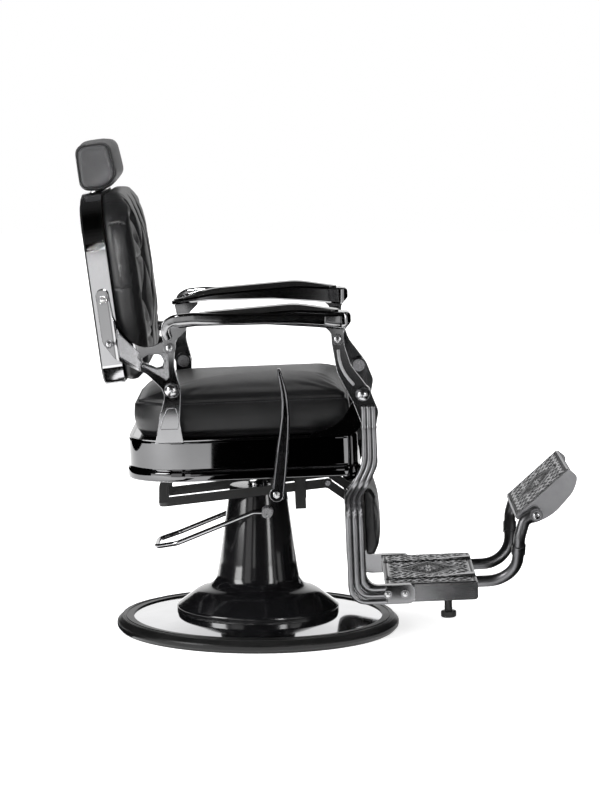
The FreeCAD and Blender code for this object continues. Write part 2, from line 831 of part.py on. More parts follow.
def pivot_pins():
    pins = []
    caps = []
    end = SWING_OUTER + "+0.4"
    for name, x, z in (("rear", "back_pin_x", "back_pin_z"), ("front", "leg_pin_x", "leg_pin_z")):
        for side, sign in (("right", "-"), ("left", "+")):
            first = POST_INNER if sign == "+" else "-(" + end + ")"
            shank = rod("pin_%s_%s" % (name, side), "Y", "pin_r", end + "-" + POST_INNER, x, first, z)
            first = POST_INNER + "-6" if sign == "+" else "-" + POST_INNER
            head = rod("pin_head_%s_%s" % (name, side), "Y", "pin_r+5", "6", x, first, z)
            pins.append(fuse("pivot_pin_%s_%s" % (name, side), [shank, head]))
            globe = ball("globe_%s_%s" % (name, side), "ball_r", x, sign + "(" + end + "+ball_r*0.4)", z)
            first = "-(" + end + ")" if sign == "-" else end + "-3*ball_r"
            trim = rod("trim_%s_%s" % (name, side), "Y", "2*ball_r", "3*ball_r", x, first, z)
            caps.append(cut("pivot_cap_%s_%s" % (name, side), globe, trim))
    node(group("pivot_pins", pins), "pivot_pins", "seat")
    node(group("pivot_caps", caps), "pivot_caps", "seat")


# The back: rim, shell, board, cushion, brackets and the headrest's sockets

SOCKET_R = "(rest_post_r+socket_wall)"
REST_LOW = "(back_top+rest_gap)"
REST_TOP = "(" + REST_LOW + "+rest_tall)"
SOCKET_X = "(-rim_front-back_board-" + SOCKET_R + ")"
ARM_PIN_X = "((arm_rear_x-back_pin_x)*cos(back_lean)+(arm_rear_z-back_pin_z)*sin(back_lean))"
ARM_PIN_Z = "((arm_rear_z-back_pin_z)*cos(back_lean)-(arm_rear_x-back_pin_x)*sin(back_lean))"


def back_corners(grow):
    """The back's outline seen from the front, grown outward from its rim."""
    half = "back_half+(%s)" % grow
    low = "back_low-(%s)" % grow
    top = "back_top+(%s)" % grow
    high_round = "back_top_corner+(%s)" % grow
    low_round = "back_low_corner+max(%s;-back_low_corner*0.7)" % grow
    return [
        ("-(" + half + ")", low, low_round), (half, low, low_round),
        (half, top, high_round), ("-(" + half + ")", top, high_round),
    ]


def rest_post_holes(name, radius):
    """Bores for the headrest's two posts."""
    pair = []
    for side, sign in (("right", "-"), ("left", "+")):
        pair.append(rod("%s_%s" % (name, side), "Z", radius, REST_TOP, SOCKET_X,
                sign + "rest_post_half", "socket_low-5"))
    return fuse(name, pair)


def back_rim():
    depth = "back_rear-shell_gauge-rim_front"
    start = "-back_rear+shell_gauge"
    outer = drawn("rim_outer", outline("rim_outer_line", "YZ", back_corners("0"), offset=start), depth)
    inner = drawn("rim_inner",
            outline("rim_inner_line", "YZ", back_corners("-rim_gauge"), offset=start + "-1"),
            depth + "+2")
    band = cut("rim_band", outer, inner)
    node(cut("back_rim", band, rest_post_holes("rim_holes", "rest_post_r+1.5")), "back_rim", "back")


def back_shell():
    near = outline("shell_near", "YZ", back_corners("0"), offset="-back_rear+shell_gauge")
    far = outline("shell_far", "YZ", back_corners("-2*shell_gauge"), offset="-back_rear")
    node(loft("back_shell", [far, near]), "back_shell", "back")


def back_board():
    node(plate("back_board", "YZ", back_corners("-rim_gauge-0.5"), "back_board", "-rim_front-back_board"),
            "back_board", "back")


def rest_sockets():
    tubes = []
    for side, sign in (("right", "-"), ("left", "+")):
        tubes.append(rod("socket_" + side, "Z", SOCKET_R, "back_top-rim_gauge-socket_low", SOCKET_X,
                         sign + "rest_post_half", "socket_low"))
    pair = group("socket_pair", tubes)
    node(cut("headrest_sockets", pair, rest_post_holes("socket_bores", "rest_post_r+run")),
            "headrest_sockets", "back")


def back_cushion():
    front = "(-rim_front+back_pad)"
    start = "(-rim_front+seat_fit)"
    levels = [("7", "0"), ("0", "14"), ("3", "0.5*back_pad"), ("10", "0.7*back_pad"),
            ("24", "0.86*back_pad"), ("55", "1.04*back_pad")]
    rings = []
    for i, (inset, rise) in enumerate(levels):
        rings.append(outline("back_ring_%d" % i, "YZ", back_corners("-2-" + inset),
                offset=start + "+" + rise))
    body = loft("back_pad_body", rings)
    rear = "-rim_front-10"
    along = bowed("back_along", "XZ", [
        (rear, "back_low-18", "0"), (front + "-67", "back_low-10", "16"),
        (front + "-11", "back_low+100", "9"),
        (front + "-5", "back_top-104", "10"), (front + "-50", "back_top+16", "0"),
        (rear, "back_top+16", "0"),
    ], offset="back_half+10")
    across = bowed("back_across", "XY", [
        (rear, "-back_half-10", "0"), (front + "-41", "-back_half-10", "6"),
        (front + "-21", "-back_half+55", "21"),
        (front + "-21", "back_half-55", "6"), (front + "-41", "back_half+10", "0"),
        (rear, "back_half+10", "0"),
    ], offset="back_low-20")
    vault = drawn("back_vault", along, "2*back_half+20")
    arch = drawn("back_arch", across, "back_top-back_low+60")
    form = common("back_pad_form", [body, vault, arch])
    pits = []
    middle = "(back_low+0.5*(back_top-back_low))"
    for row in range(4):
        rise = "(back_low+tuft_rise+%d*0.83*tuft_step)" % row
        count = 3 if row % 2 == 0 else 4
        for i in range(count):
            side = "(%s*tuft_step)" % (i - (count - 1) / 2)
            fall = "max(21*(%s/(back_half-55))^2;9*((%s-%s)/106)^2)" % (side, rise, middle)
            pits.append(ball("tuft_%d_%d" % (row, i), "tuft_r", front + "-" + fall + "+tuft_r-tuft_depth",
                    side, rise))
    node(cut("back_cushion", form, fuse("tufts", pits)), "back_cushion", "back")


def back_bracket():
    strip_top = "bracket_bolt_high+22"
    side = drawn("bracket_side", outline("bracket_outline", "XZ", [
        ("-bolt_line-14", strip_top, "12"), ("-bolt_line+12", strip_top, "12"),
        ("-bolt_line+16", "bracket_bolt_low+50", "40"), ("-bolt_line+52", "bracket_bolt_low", "50"),
        (ARM_PIN_X + "-46", ARM_PIN_Z + "+3", "40"),
        (ARM_PIN_X + "-arm_eye_r", ARM_PIN_Z + "+arm_eye_r", "arm_eye_r-1"),
        (ARM_PIN_X + "+arm_eye_r", ARM_PIN_Z + "+arm_eye_r", "arm_eye_r-1"),
        ("eye_r-6.5", "50", "60"), ("eye_r", "4", "14"),
        ("eye_r", "-eye_r", "eye_r-0.5"), ("-eye_r", "-eye_r", "eye_r-0.5"), ("-eye_r-2", "4", "14"),
        ("-50", "42", "40"), ("-bolt_line+8", "bracket_bolt_low-34", "25"),
        ("-bolt_line-14", "bracket_bolt_low+4", "20"),
    ]), SWING_OUTER + "+20")
    flat = "(back_half+seat_fit)"
    bend = drawn("bracket_bend", outline("bracket_plan", "XY", [
        ("-bolt_line-25", "-" + flat), ("-rim_front+1", "-" + flat, "14"),
        ("-rim_front+45", "-" + SWING_INNER, "14"),
        ("60", "-" + SWING_INNER), ("60", "-" + SWING_OUTER), ("-rim_front+37", "-" + SWING_OUTER, "14"),
        ("-rim_front-7", "-" + flat + "-strip_gauge", "14"),
        ("-bolt_line-25", "-" + flat + "-strip_gauge"),
    ], offset="-2*eye_r"), "bracket_bolt_high+120")
    slot = drawn("bracket_slot", outline("bracket_slot_line", "XZ", [
        ("-54", "75", "5"), ("-40", "82", "9"), ("-14", "79", "9"), ("-8", "64", "9"), ("-13", "52", "8"),
        ("-26", "50", "9"), ("-54", "67", "4"),
    ], offset="-back_half"), "100")
    bore = rod("bracket_bore", "Y", "pin_r+run", "80", "0", "-" + SWING_OUTER + "-20", "0")
    shaped = common("bracket_shape", [side, bend])
    right = node(cut("back_bracket_right", shaped, fuse("bracket_cuts", [slot, bore])),
            "back_bracket_right", "back")
    mirrored("back_bracket_left", right)


def bracket_bolts():
    heads = []
    face = "(back_half+seat_fit+strip_gauge)"
    for side, y in (("right", "-" + face + "-5"), ("left", face)):
        for name, z in (("low", "bracket_bolt_low"), ("high", "bracket_bolt_high")):
            heads.append(rod("bracket_bolt_%s_%s" % (name, side), "Y", "9", "5", "-bolt_line", y, z))
    node(group("bracket_bolts", heads), "bracket_bolts", "back")


def arm_pin_set(name, label, x, z, frame):
    """A pin with a round head outside each armrest lug."""
    pins = []
    lug_end = SWING_OUTER + "+1.5+arm_lug"
    for side, sign in (("right", "-"), ("left", "+")):
        first = SWING_OUTER if sign == "+" else "-(" + lug_end + "+0.5)"
        shank = rod("%s_shank_%s" % (name, side), "Y", "arm_pin_r", lug_end + "+0.5-" + SWING_OUTER, x,
                first, z)
        first = lug_end + "+0.5" if sign == "+" else "-(" + lug_end + "+5.5)"
        head = rod("%s_head_%s" % (name, side), "Y", "arm_head_r", "5", x, first, z)
        pins.append(fuse("%s_%s" % (name, side), [shank, head]))
    node(group(label, pins), label, frame)


def headrest():
    def rest_corners(grow):
        return [
            ("-rest_rear-(%s)" % grow, REST_LOW + "-(%s)" % grow, "20"),
            ("-rest_front-30", REST_LOW + "-3-(%s)" % grow, "30"),
            ("-rest_front+(%s)" % grow, REST_LOW + "+24", "20"),
            ("-rest_front-8+(%s)" % grow, REST_TOP + "+(%s)" % grow, "20"),
            ("-rest_rear-(%s)" % grow, REST_TOP + "+(%s)" % grow, "20"),
        ]
    slices = []
    levels = (("-9", "rest_half"), ("0", "rest_half-14"), ("3", "0"), ("0", "14-rest_half"),
            ("-9", "-rest_half"))
    for i, (grow, y) in enumerate(levels):
        slices.append(outline("rest_slice_%d" % i, "XZ", rest_corners(grow), offset=y))
    holes = []
    posts = []
    for side, sign in (("right", "-"), ("left", "+")):
        holes.append(rod("rest_hole_" + side, "Z", "rest_post_r+seat_fit", "40+seat_fit", SOCKET_X,
                sign + "rest_post_half", REST_LOW + "-10"))
        posts.append(rod("rest_post_" + side, "Z", "rest_post_r", REST_LOW + "+30-rest_post_low", SOCKET_X,
                sign + "rest_post_half", "rest_post_low"))
    node(cut("headrest_pad", loft("rest_body", slices), fuse("rest_holes", holes)), "headrest_pad",
            "back")
    node(group("headrest_posts", posts), "headrest_posts", "back")


# The armrests

ARM_BASE = "((arm_rear_z+arm_front_z)/2+arm_rise)"
LUG_INNER = "(" + SWING_OUTER + "+1.5)"


def arm_top(lift, rounded=True):
    """The armrest's upper edge from front to rear, lifted by one amount per corner."""
    nose = ("arm_front", ARM_BASE + "+arm_nose+" + lift[0])
    tail = ("-arm_rear", ARM_BASE + "+arm_tail+" + lift[3])
    return [
        nose + ("10",) if rounded else nose,
        ("100", ARM_BASE + "+arm_deep+arm_arch/2+" + lift[1], "200"),
        ("-100", ARM_BASE + "+arm_deep-arm_arch+" + lift[2], "200"),
        tail + ("2",) if rounded else tail,
    ]


def arm_plan(name, inset, nose_inset, offset):
    half = "(arm_half-(%s))" % inset
    rear = "-arm_rear+(%s)" % inset
    front = "arm_front-(%s)" % nose_inset
    return outline(name, "XY", [
        (rear, "-" + ARM_AXIS + "-" + half, "22"), (front, "-" + ARM_AXIS + "-" + half, "22"),
        (front, "-" + ARM_AXIS + "+" + half, "22"), (rear, "-" + ARM_AXIS + "+" + half, "22"),
    ], offset=offset)


def arm_frame():
    def arm_corners(inset):
        lower = [
            ("-arm_rear", ARM_BASE + "+0.5+" + inset, "4"),
            ("-110", ARM_BASE + "+arm_arch+" + inset, "60"), ("40", ARM_BASE + "+4.5+" + inset, "300"),
            ("140", ARM_BASE + "-5+" + inset, "80"), ("arm_front-14", ARM_BASE + "-13+" + inset, "10"),
            ("arm_front", ARM_BASE + "+3+" + inset, "8"),
        ]
        return lower + arm_top(["-" + inset] * 4)
    slices = []
    levels = (("4", "-arm_half"), ("0", "8-arm_half"), ("0", "arm_half-8"), ("4", "arm_half"))
    for i, (inset, y) in enumerate(levels):
        place = "-%s+(%s)" % (ARM_AXIS, y)
        slices.append(outline("arm_slice_%d" % i, "XZ", arm_corners(inset), offset=place))
    shell = loft("arm_shell", slices)
    trim = drawn("arm_trim", arm_plan("arm_trim_plan", "0", "0", ARM_BASE + "-60"), "200")
    body = common("arm_body", [shell, trim])
    lugs = []
    holes = []
    for name, x, z, play, behind, ahead in (
            ("rear", "arm_rear_x", "arm_rear_z", "run", "4", "24"),
            ("front", "arm_front_x", "arm_front_z", "open_play", "20", "10")):
        rear = x + "-arm_eye_r"
        front = x + "+arm_eye_r"
        lug = outline("arm_lug_%s_line" % name, "XZ", [
            (rear + "-" + behind, ARM_BASE + "+6"), (rear + "-" + behind, ARM_BASE + "-2"),
            (rear, z + "+14", "24"), (rear, z + "-arm_eye_r", "arm_eye_r-1"),
            (front, z + "-arm_eye_r", "arm_eye_r-1"), (front, z + "+14", "24"),
            (front + "+" + ahead, ARM_BASE + "-2"), (front + "+" + ahead, ARM_BASE + "+6"),
        ], offset="-" + LUG_INNER)
        lugs.append(drawn("arm_lug_" + name, lug, "arm_lug"))
        holes.append(rod("arm_hole_" + name, "Y", "arm_pin_r+" + play, "60", x, "-" + LUG_INNER + "-40",
                z))
    right = node(cut("arm_frame_right", fuse("arm_casting", [body] + lugs), fuse("arm_holes", holes)),
            "arm_frame_right", "seat")
    mirrored("arm_frame_left", right)


def arm_pad():
    bottom = list(reversed(arm_top(["seat_fit"] * 4, rounded=False)))
    slices = []
    levels = (("0.35", "-arm_half"), ("1", "12-arm_half"), ("1.12", "0"), ("1", "arm_half-12"),
            ("0.35", "arm_half"))
    for i, (share, y) in enumerate(levels):
        thick = "%s*arm_pad" % share
        top = arm_top(["1", thick, thick, "2"], rounded=False)
        slices.append(outline("pad_slice_%d" % i, "XZ", bottom + top, offset="-%s+(%s)" % (ARM_AXIS, y)))
    trim = drawn("pad_trim", arm_plan("pad_trim_plan", "arm_pad_in", "arm_pad_nose", ARM_BASE), "200")
    right = node(common("arm_pad_right", [loft("pad_loft", slices), trim]), "arm_pad_right", "seat")
    mirrored("arm_pad_left", right)


# The leg rest: ribbed legs, crossbar, calf pad and footplate

def leg():
    bar_front = "leg_rear+leg_width"
    side = drawn("leg_side", outline("leg_outline", "XZ", [
        ("arm_front_x+arm_eye_r", "arm_front_z+arm_eye_r", "arm_eye_r-1"),
        ("arm_front_x+14", "arm_front_z-18", "40"),
        ("arm_front_x+27", "arm_front_z-62", "60"), ("leg_pin_x+17", "leg_pin_z+6", "36"),
        ("leg_pin_x+33", "leg_pin_z-38", "22"), ("leg_pin_x+26", "leg_pin_z-72", "30"),
        ("leg_pin_x+27", "jog_high", "40"),
        (bar_front + "-3", "jog_low", "40"), (bar_front + "+1", "-leg_low+leg_foot", "28"),
        ("leg_end", "-leg_low+leg_foot", "16"), ("leg_end", "-leg_low", "16"),
        ("leg_rear+4", "-leg_low", "leg_heel"),
        ("leg_rear-1", "jog_low+5", "40"), ("leg_pin_x-7", "jog_high-5", "40"),
        ("leg_pin_x-4", "leg_pin_z-66", "30"),
        ("leg_pin_x-20", "leg_pin_z-20", "20"), ("arm_front_x-4", "arm_front_z-75", "60"),
        ("arm_front_x-arm_eye_r", "arm_front_z-10", "30"),
        ("arm_front_x-arm_eye_r", "arm_front_z+arm_eye_r", "arm_eye_r-1"),
    ]), SWING_OUTER + "+20")
    top = "arm_front_z+arm_eye_r+5"
    bend = drawn("leg_bend", outline("leg_bend_line", "YZ", [
        ("-" + SWING_OUTER, top), ("-" + SWING_OUTER, "flare_high-14", "24"),
        ("-leg_half", "flare_low-13", "24"),
        ("-leg_half", "-leg_low-5"), ("-leg_half+leg_gauge", "-leg_low-5"),
        ("-leg_half+leg_gauge", "flare_low", "14"),
        ("-" + SWING_INNER, "flare_high", "14"), ("-" + SWING_INNER, top),
    ], offset="0"), "leg_end+50")
    ribs = []
    for i in range(3):
        share = "(%d+0.5)/3" % i
        x = "(leg_rear+leg_width*%s-rib_wide/2)" % share
        z = "(-leg_low+leg_foot*%s-rib_wide/2)" % share
        heel = "leg_heel-leg_width*%s" % share
        ribs.append(drawn("leg_rib_%d" % i, outline("leg_rib_line_%d" % i, "XZ", [
            (x, "flare_low-20"), (x + "+rib_wide", "flare_low-20"),
            (x + "+rib_wide", z + "+rib_wide", heel + "-rib_wide/2"),
            ("leg_rear+72", z + "+rib_wide"), ("leg_rear+72", z), (x, z, heel + "+rib_wide/2"),
        ], offset="-leg_half+1"), "rib_proud+1"))
    bore = rod("leg_bore", "Y", "pin_r+run", "80", "leg_pin_x", "-" + SWING_OUTER + "-20", "leg_pin_z")
    solid = fuse("leg_solid", [common("leg_shape", [side, bend])] + ribs)
    right = node(cut("leg_right", solid, bore), "leg_right", "seat")
    mirrored("leg_left", right)


def leg_crossbar():
    inner = "(leg_half-leg_gauge)"
    bar = rod("crossbar_tube", "Y", "crossbar_r", "2*" + inner, "crossbar_x", "-" + inner, "crossbar_z")
    run_x = "(hoop_pin_x-crossbar_x)"
    run_z = "(hoop_pin_z-crossbar_z)"
    length = "sqrt(%s^2+%s^2)" % (run_x, run_z)
    pieces = [bar]
    holes = []
    for side, y in (("right", "-hoop_half-1-hoop_gauge"), ("left", "hoop_half+1")):
        eye = rod("lug_eye_" + side, "Y", "11", "hoop_gauge", "hoop_pin_x", y, "hoop_pin_z")
        foot = rod("lug_foot_" + side, "Y", "crossbar_r", "hoop_gauge", "crossbar_x", y, "crossbar_z")
        web = doc.addObject("Part::Box", "lug_web_" + side)
        web.Placement = Placement(Vector(0, 0, 0), Rotation(Vector(0, -1, 0), 10))
        bind(web, Length=length, Width="hoop_gauge", Height="18",
                Placement__Rotation__Angle="atan2(%s;%s)" % (run_z, run_x))
        at(web, "crossbar_x+9*%s/%s" % (run_z, length), y, "crossbar_z-9*%s/%s" % (run_x, length))
        pieces += [eye, foot, web]
        holes.append(rod("lug_hole_" + side, "Y", "hoop_pin_r", "30", "hoop_pin_x", y + "-10",
                "hoop_pin_z"))
    node(cut("leg_crossbar", fuse("crossbar_body", pieces), fuse("lug_holes", holes)), "leg_crossbar",
            "seat")
    pins = []
    for side, y in (("right", "-hoop_half-1-hoop_gauge"), ("left", "hoop_half-hoop_gauge-1")):
        pins.append(rod("hoop_pin_" + side, "Y", "hoop_pin_r", "2*hoop_gauge+2", "hoop_pin_x", y,
                "hoop_pin_z"))
    node(group("hoop_pins", pins), "hoop_pins", "seat")


CALF_REAR = "(crossbar_x+crossbar_r+calf_board)"
PANEL_HALF = "(leg_half-leg_gauge-1)"


def calf_rest():
    board = block("calf_slab", ("calf_board", "2*" + PANEL_HALF, "calf_top-calf_low-22"),
                  "crossbar_x+crossbar_r", "-" + PANEL_HALF, "calf_low+12")
    node(group("calf_board", [board]), "calf_board", "seat")

    def calf_corners(grow):
        rear = CALF_REAR + "+seat_fit"
        front = CALF_REAR + "+calf_thick+(%s)" % grow
        return [
            (rear, "calf_low-(%s)" % grow, "4"), (front + "-10", "calf_low-(%s)" % grow, "8"),
            (front, "calf_low+24", "16"),
            (front + "-4", "calf_top-20", "14"), (front + "-14", "calf_top+(%s)" % grow, "5"),
            (rear, "calf_top+(%s)" % grow, "3"),
        ]
    slices = []
    levels = (("-6", PANEL_HALF), ("0", PANEL_HALF + "-14"), ("3", "0"), ("0", "14-" + PANEL_HALF),
            ("-6", "-" + PANEL_HALF))
    for i, (grow, y) in enumerate(levels):
        slices.append(outline("calf_slice_%d" % i, "XZ", calf_corners(grow), offset=y))
    node(loft("calf_pad", slices), "calf_pad", "seat")


NUT_LOW = "(plate_top-plate_gauge-nut_tall)"
TUBE_Z = "(plate_top-tube_drop)"
TUBE_HALF = "(leg_half-tube_inset)"


def tube_ramp(name, middle, wide):
    """A wedge on the footplate that rises and widens over a tube."""
    ends = []
    for place, x, half, rise in (("rear", "plate_front-ramp_long", "3", "0.5"),
                                 ("front", "plate_front-2", wide, "ramp_rise")):
        ends.append(outline("%s_%s" % (name, place), "YZ", [
            (middle + "-" + half, "plate_top-1"), (middle + "+" + half, "plate_top-1"),
            (middle + "+0.7*" + half, "plate_top+" + rise), (middle + "-0.7*" + half, "plate_top+" + rise),
        ], offset=x))
    return loft(name, ends)


def footplate():
    half = "(leg_half-leg_gauge-0.3)"
    long = "plate_front-plate_rear"
    pieces = [block("plate_slab", (long, "2*" + half, "plate_gauge"), "plate_rear", "-" + half,
            "plate_top-plate_gauge")]
    for side, y in (("right", "-" + half + "+5"), ("left", half)):
        line = outline("plate_side_line_" + side, "XZ", [
            ("plate_rear", "plate_top-1"), ("plate_rear", "plate_top-plate_side", "10"),
            ("plate_front", "plate_top-plate_side", "8"), ("plate_front", "plate_top-1"),
        ], offset=y)
        pieces.append(drawn("plate_side_" + side, line, "5"))
    pieces.append(block("plate_lip", ("5", "2*" + half, "14"), "plate_front-5", "-" + half,
            "plate_top-14"))
    bores = []
    wide = "(tube_r+channel_wall)"
    for side, sign in (("right", "-"), ("left", "+")):
        pieces.append(block("channel_" + side, (long + "-30", "2*" + wide, wide + "+tube_drop+tube_roof"),
                            "plate_rear+20", sign + TUBE_HALF + "-" + wide, TUBE_Z + "-" + wide))
        pieces.append(tube_ramp("ramp_" + side, sign + TUBE_HALF, wide))
        bores.append(rod("channel_bore_" + side, "X", "tube_r+run", long + "+80", "plate_rear-20",
                sign + TUBE_HALF, TUBE_Z))
    pieces.append(block("knob_nut", ("36", "70", "nut_tall"), "knob_x-18", "-35", NUT_LOW))
    bores.append(rod("knob_bore", "Z", "6+run", "nut_tall+2", "knob_x", "0", NUT_LOW + "-1"))
    border = cut("plate_border",
                 block("border_outer", (long + "-12", "2*" + half + "-12", "3"), "plate_rear+6",
                     "-" + half + "+6", "plate_top-1"),
                 block("border_inner", (long + "-28", "2*" + half + "-28", "5"), "plate_rear+14",
                     "-" + half + "+14", "plate_top-2"))
    pieces.append(border)
    node(cut("footplate", fuse("plate_body", pieces), fuse("plate_bores", bores)), "footplate", "seat")


def leg_bolts():
    heads = []
    for side, y in (("right", "-leg_half-6"), ("left", "leg_half")):
        for i, x in enumerate(("leg_end-61", "leg_end-23")):
            heads.append(rod("leg_bolt_%s_%d" % (side, i), "Y", "9", "6", x, y, "-leg_low+leg_foot/2+1"))
    node(group("leg_bolts", heads), "leg_bolts", "seat")


def clamp_knob():
    top = "plate_top-plate_gauge-1"
    body = turned("knob_body", [
        ("0", "knob_low"), ("knob_r", "knob_low", "4"), ("knob_r", "knob_low+knob_height", "3"),
        ("knob_neck", "knob_low+knob_height", "2"), ("knob_neck-1", NUT_LOW + "-1.5"),
        ("6", NUT_LOW + "-1.5"), ("6", top), ("0", top),
    ])
    at(body, "knob_x")
    node(group("clamp_knob", [body]), "clamp_knob", "seat")


# The toe rest on its sliding tubes

TOE_HALF = "(leg_half-toe_inset)"
TOE_Y = "(" + TOE_HALF + "+tube_r+1)"


def toe_arm():
    path = [
        ("plate_rear+28", "-" + TUBE_HALF, TUBE_Z), ("toe_x-45", "-" + TUBE_HALF, TUBE_Z),
        ("toe_x-38", "-" + TOE_Y, "toe_z-50"), ("toe_x-26", "-" + TOE_Y, "toe_z-12"),
        ("toe_x", "-" + TOE_Y, "toe_z"),
    ]
    tube = bent_rod("toe_tube", path, ["68", "30", "20"], "tube_r")
    low = Vector(num(path[1][0]), num(path[1][1]), num(path[1][2]))
    high = Vector(num(path[2][0]), num(path[2][1]), num(path[2][2]))
    along = (high - low).normalize()
    middle = low * 0.27 + high * 0.73
    long = num("sleeve_long")
    sleeve = Part.makeCylinder(num("tube_r+sleeve_proud"), long, middle - along * (long / 2), along)
    collar = doc.addObject("Part::Feature", "toe_sleeve")
    collar.Shape = sleeve
    eye = rod("toe_eye", "Y", "tube_r+1.5", "2*tube_r", "toe_x", "-" + TOE_HALF + "-1-2*tube_r",
            "toe_z")
    hole = rod("toe_eye_hole", "Y", "6+run", "60", "toe_x", "-" + TOE_HALF + "-50", "toe_z")
    body = fuse("toe_arm_body", [tube, collar, eye])
    right = node(cut("toe_arm_right", body, hole), "toe_arm_right", "seat")
    body.Refine = False
    right.Refine = False
    mirrored("toe_arm_left", right)


def toe_rest():
    face = [("toe_x-45", "toe_z-7"), ("toe_x+77", "toe_z+96")]
    cheek_line = face[:1] + [
        ("toe_x-10", "toe_z-24", "34"), ("toe_x+38", "toe_z-6", "110"), ("toe_x+90", "toe_z+50", "75"),
        ("toe_x+95", "toe_z+80", "12"),
    ] + face[1:]
    pieces = []
    for side, y in (("right", "-" + TOE_HALF + "+cheek_gauge"), ("left", TOE_HALF)):
        pieces.append(drawn("cheek_" + side, outline("cheek_line_" + side, "XZ", cheek_line, offset=y),
                "cheek_gauge"))
    slab = outline("toe_slab_line", "XZ", [
        face[0], ("toe_x-45+0.677*toe_gauge", "toe_z-7-0.736*toe_gauge"),
        ("toe_x+77+0.677*toe_gauge", "toe_z+96-0.736*toe_gauge"), face[1],
    ], offset=TOE_HALF)
    pieces.append(drawn("toe_slab", slab, "2*" + TOE_HALF))
    hole = rod("toe_hole", "Y", "6", "3*" + TOE_HALF, "toe_x", "-1.5*" + TOE_HALF, "toe_z")
    node(cut("toe_plate", fuse("toe_body", pieces), hole), "toe_plate", "seat")
    gap = TOE_HALF + "-cheek_gauge-0.5"
    pad = outline("toe_pad_line", "XZ", [
        ("toe_x-33", "toe_z-16"), ("toe_x-8", "toe_z-20", "28"), ("toe_x+36", "toe_z-2", "104"),
        ("toe_x+85", "toe_z+51", "66"), ("toe_x+89", "toe_z+76", "8"), ("toe_x+80", "toe_z+86", "3"),
    ], offset=gap)
    pad_hole = rod("toe_pad_hole", "Y", "7", "3*" + TOE_HALF, "toe_x", "-1.5*" + TOE_HALF, "toe_z")
    node(cut("toe_pad", drawn("toe_pad_body", pad, "2*(" + gap + ")"), pad_hole), "toe_pad", "seat")
    bolts = []
    tip = TOE_HALF + "+1+2*tube_r+0.5"
    for side, sign in (("right", "-"), ("left", "+")):
        first = TOE_HALF + "-cheek_gauge" if sign == "+" else "-(" + tip + ")"
        shank = rod("toe_shank_" + side, "Y", "6", tip + "-" + TOE_HALF + "+cheek_gauge", "toe_x", first,
                "toe_z")
        first = tip if sign == "+" else "-(" + tip + "+5)"
        head = rod("toe_head_" + side, "Y", "10", "5", "toe_x", first, "toe_z")
        bolts.append(fuse("toe_bolt_" + side, [shank, head]))
    node(group("toe_bolts", bolts), "toe_bolts", "seat")


# The recline lock: hoop, guides, lever and its cross shaft

def lock_hoop():
    rear = "hoop_rear_x-10"
    front = "hoop_pin_x+20"
    inner = "(hoop_half-hoop_gauge)"
    rise = "0.5*hoop_height"
    side = drawn("hoop_side", outline("hoop_side_line", "XZ", [
        (rear, "hoop_rear_z-" + rise, "5"), ("hoop_pin_x+" + rise, "hoop_pin_z-" + rise, rise + "-0.5"),
        ("hoop_pin_x+" + rise, "hoop_pin_z+" + rise, rise + "-0.5"), (rear, "hoop_rear_z+" + rise, "5"),
    ], offset="hoop_half+10"), "2*hoop_half+20")
    plan = drawn("hoop_plan", outline("hoop_plan_line", "XY", [
        (front, "-hoop_half"), (rear, "-hoop_half", "24"), (rear, "hoop_half", "24"),
        (front, "hoop_half"),
        (front, inner), (rear + "+hoop_gauge", inner, "16"), (rear + "+hoop_gauge", "-" + inner, "16"),
        (front, "-" + inner),
    ], offset="hoop_rear_z-60"), "160")
    hole = rod("hoop_hole", "Y", "hoop_pin_r+run", "4*hoop_half", "hoop_pin_x", "-2*hoop_half",
            "hoop_pin_z")
    pieces = [common("hoop_shape", [side, plan])]
    hook_top = "hoop_rear_z+hook_rise"
    for name, y in (("right", "-" + inner), ("left", "hoop_half")):
        pieces.append(drawn("hook_" + name, outline("hook_line_" + name, "XZ", [
            (rear + "+1", "hoop_rear_z"), (rear + "+4", hook_top, "30"),
            (rear + "+hook_reach", hook_top + "+9"),
            (rear + "+hook_reach", hook_top + "-8"), (rear + "+hoop_height+4", hook_top + "-16", "14"),
            (rear + "+hoop_height+4", "hoop_rear_z"),
        ], offset=y), "hoop_gauge"))
    node(cut("lock_hoop", fuse("hoop_body", pieces), hole), "lock_hoop", "seat")


def hoop_guides():
    straps = []
    inner = "(hoop_half-hoop_gauge)"
    for side, sign in (("right", "-"), ("left", "+")):
        first = inner + "-8" if sign == "+" else "-hoop_half-8"
        outer = block("guide_outer_" + side, ("24", "hoop_gauge+16", "98"), "guide_x-12", first, "-98")
        first = inner + "-2" if sign == "+" else "-hoop_half-2"
        slot = block("guide_slot_" + side, ("40", "hoop_gauge+4", "72"), "guide_x-20", first, "-92")
        straps.append(cut("guide_" + side, outer, slot))
    node(group("hoop_guides", straps), "hoop_guides", "seat")


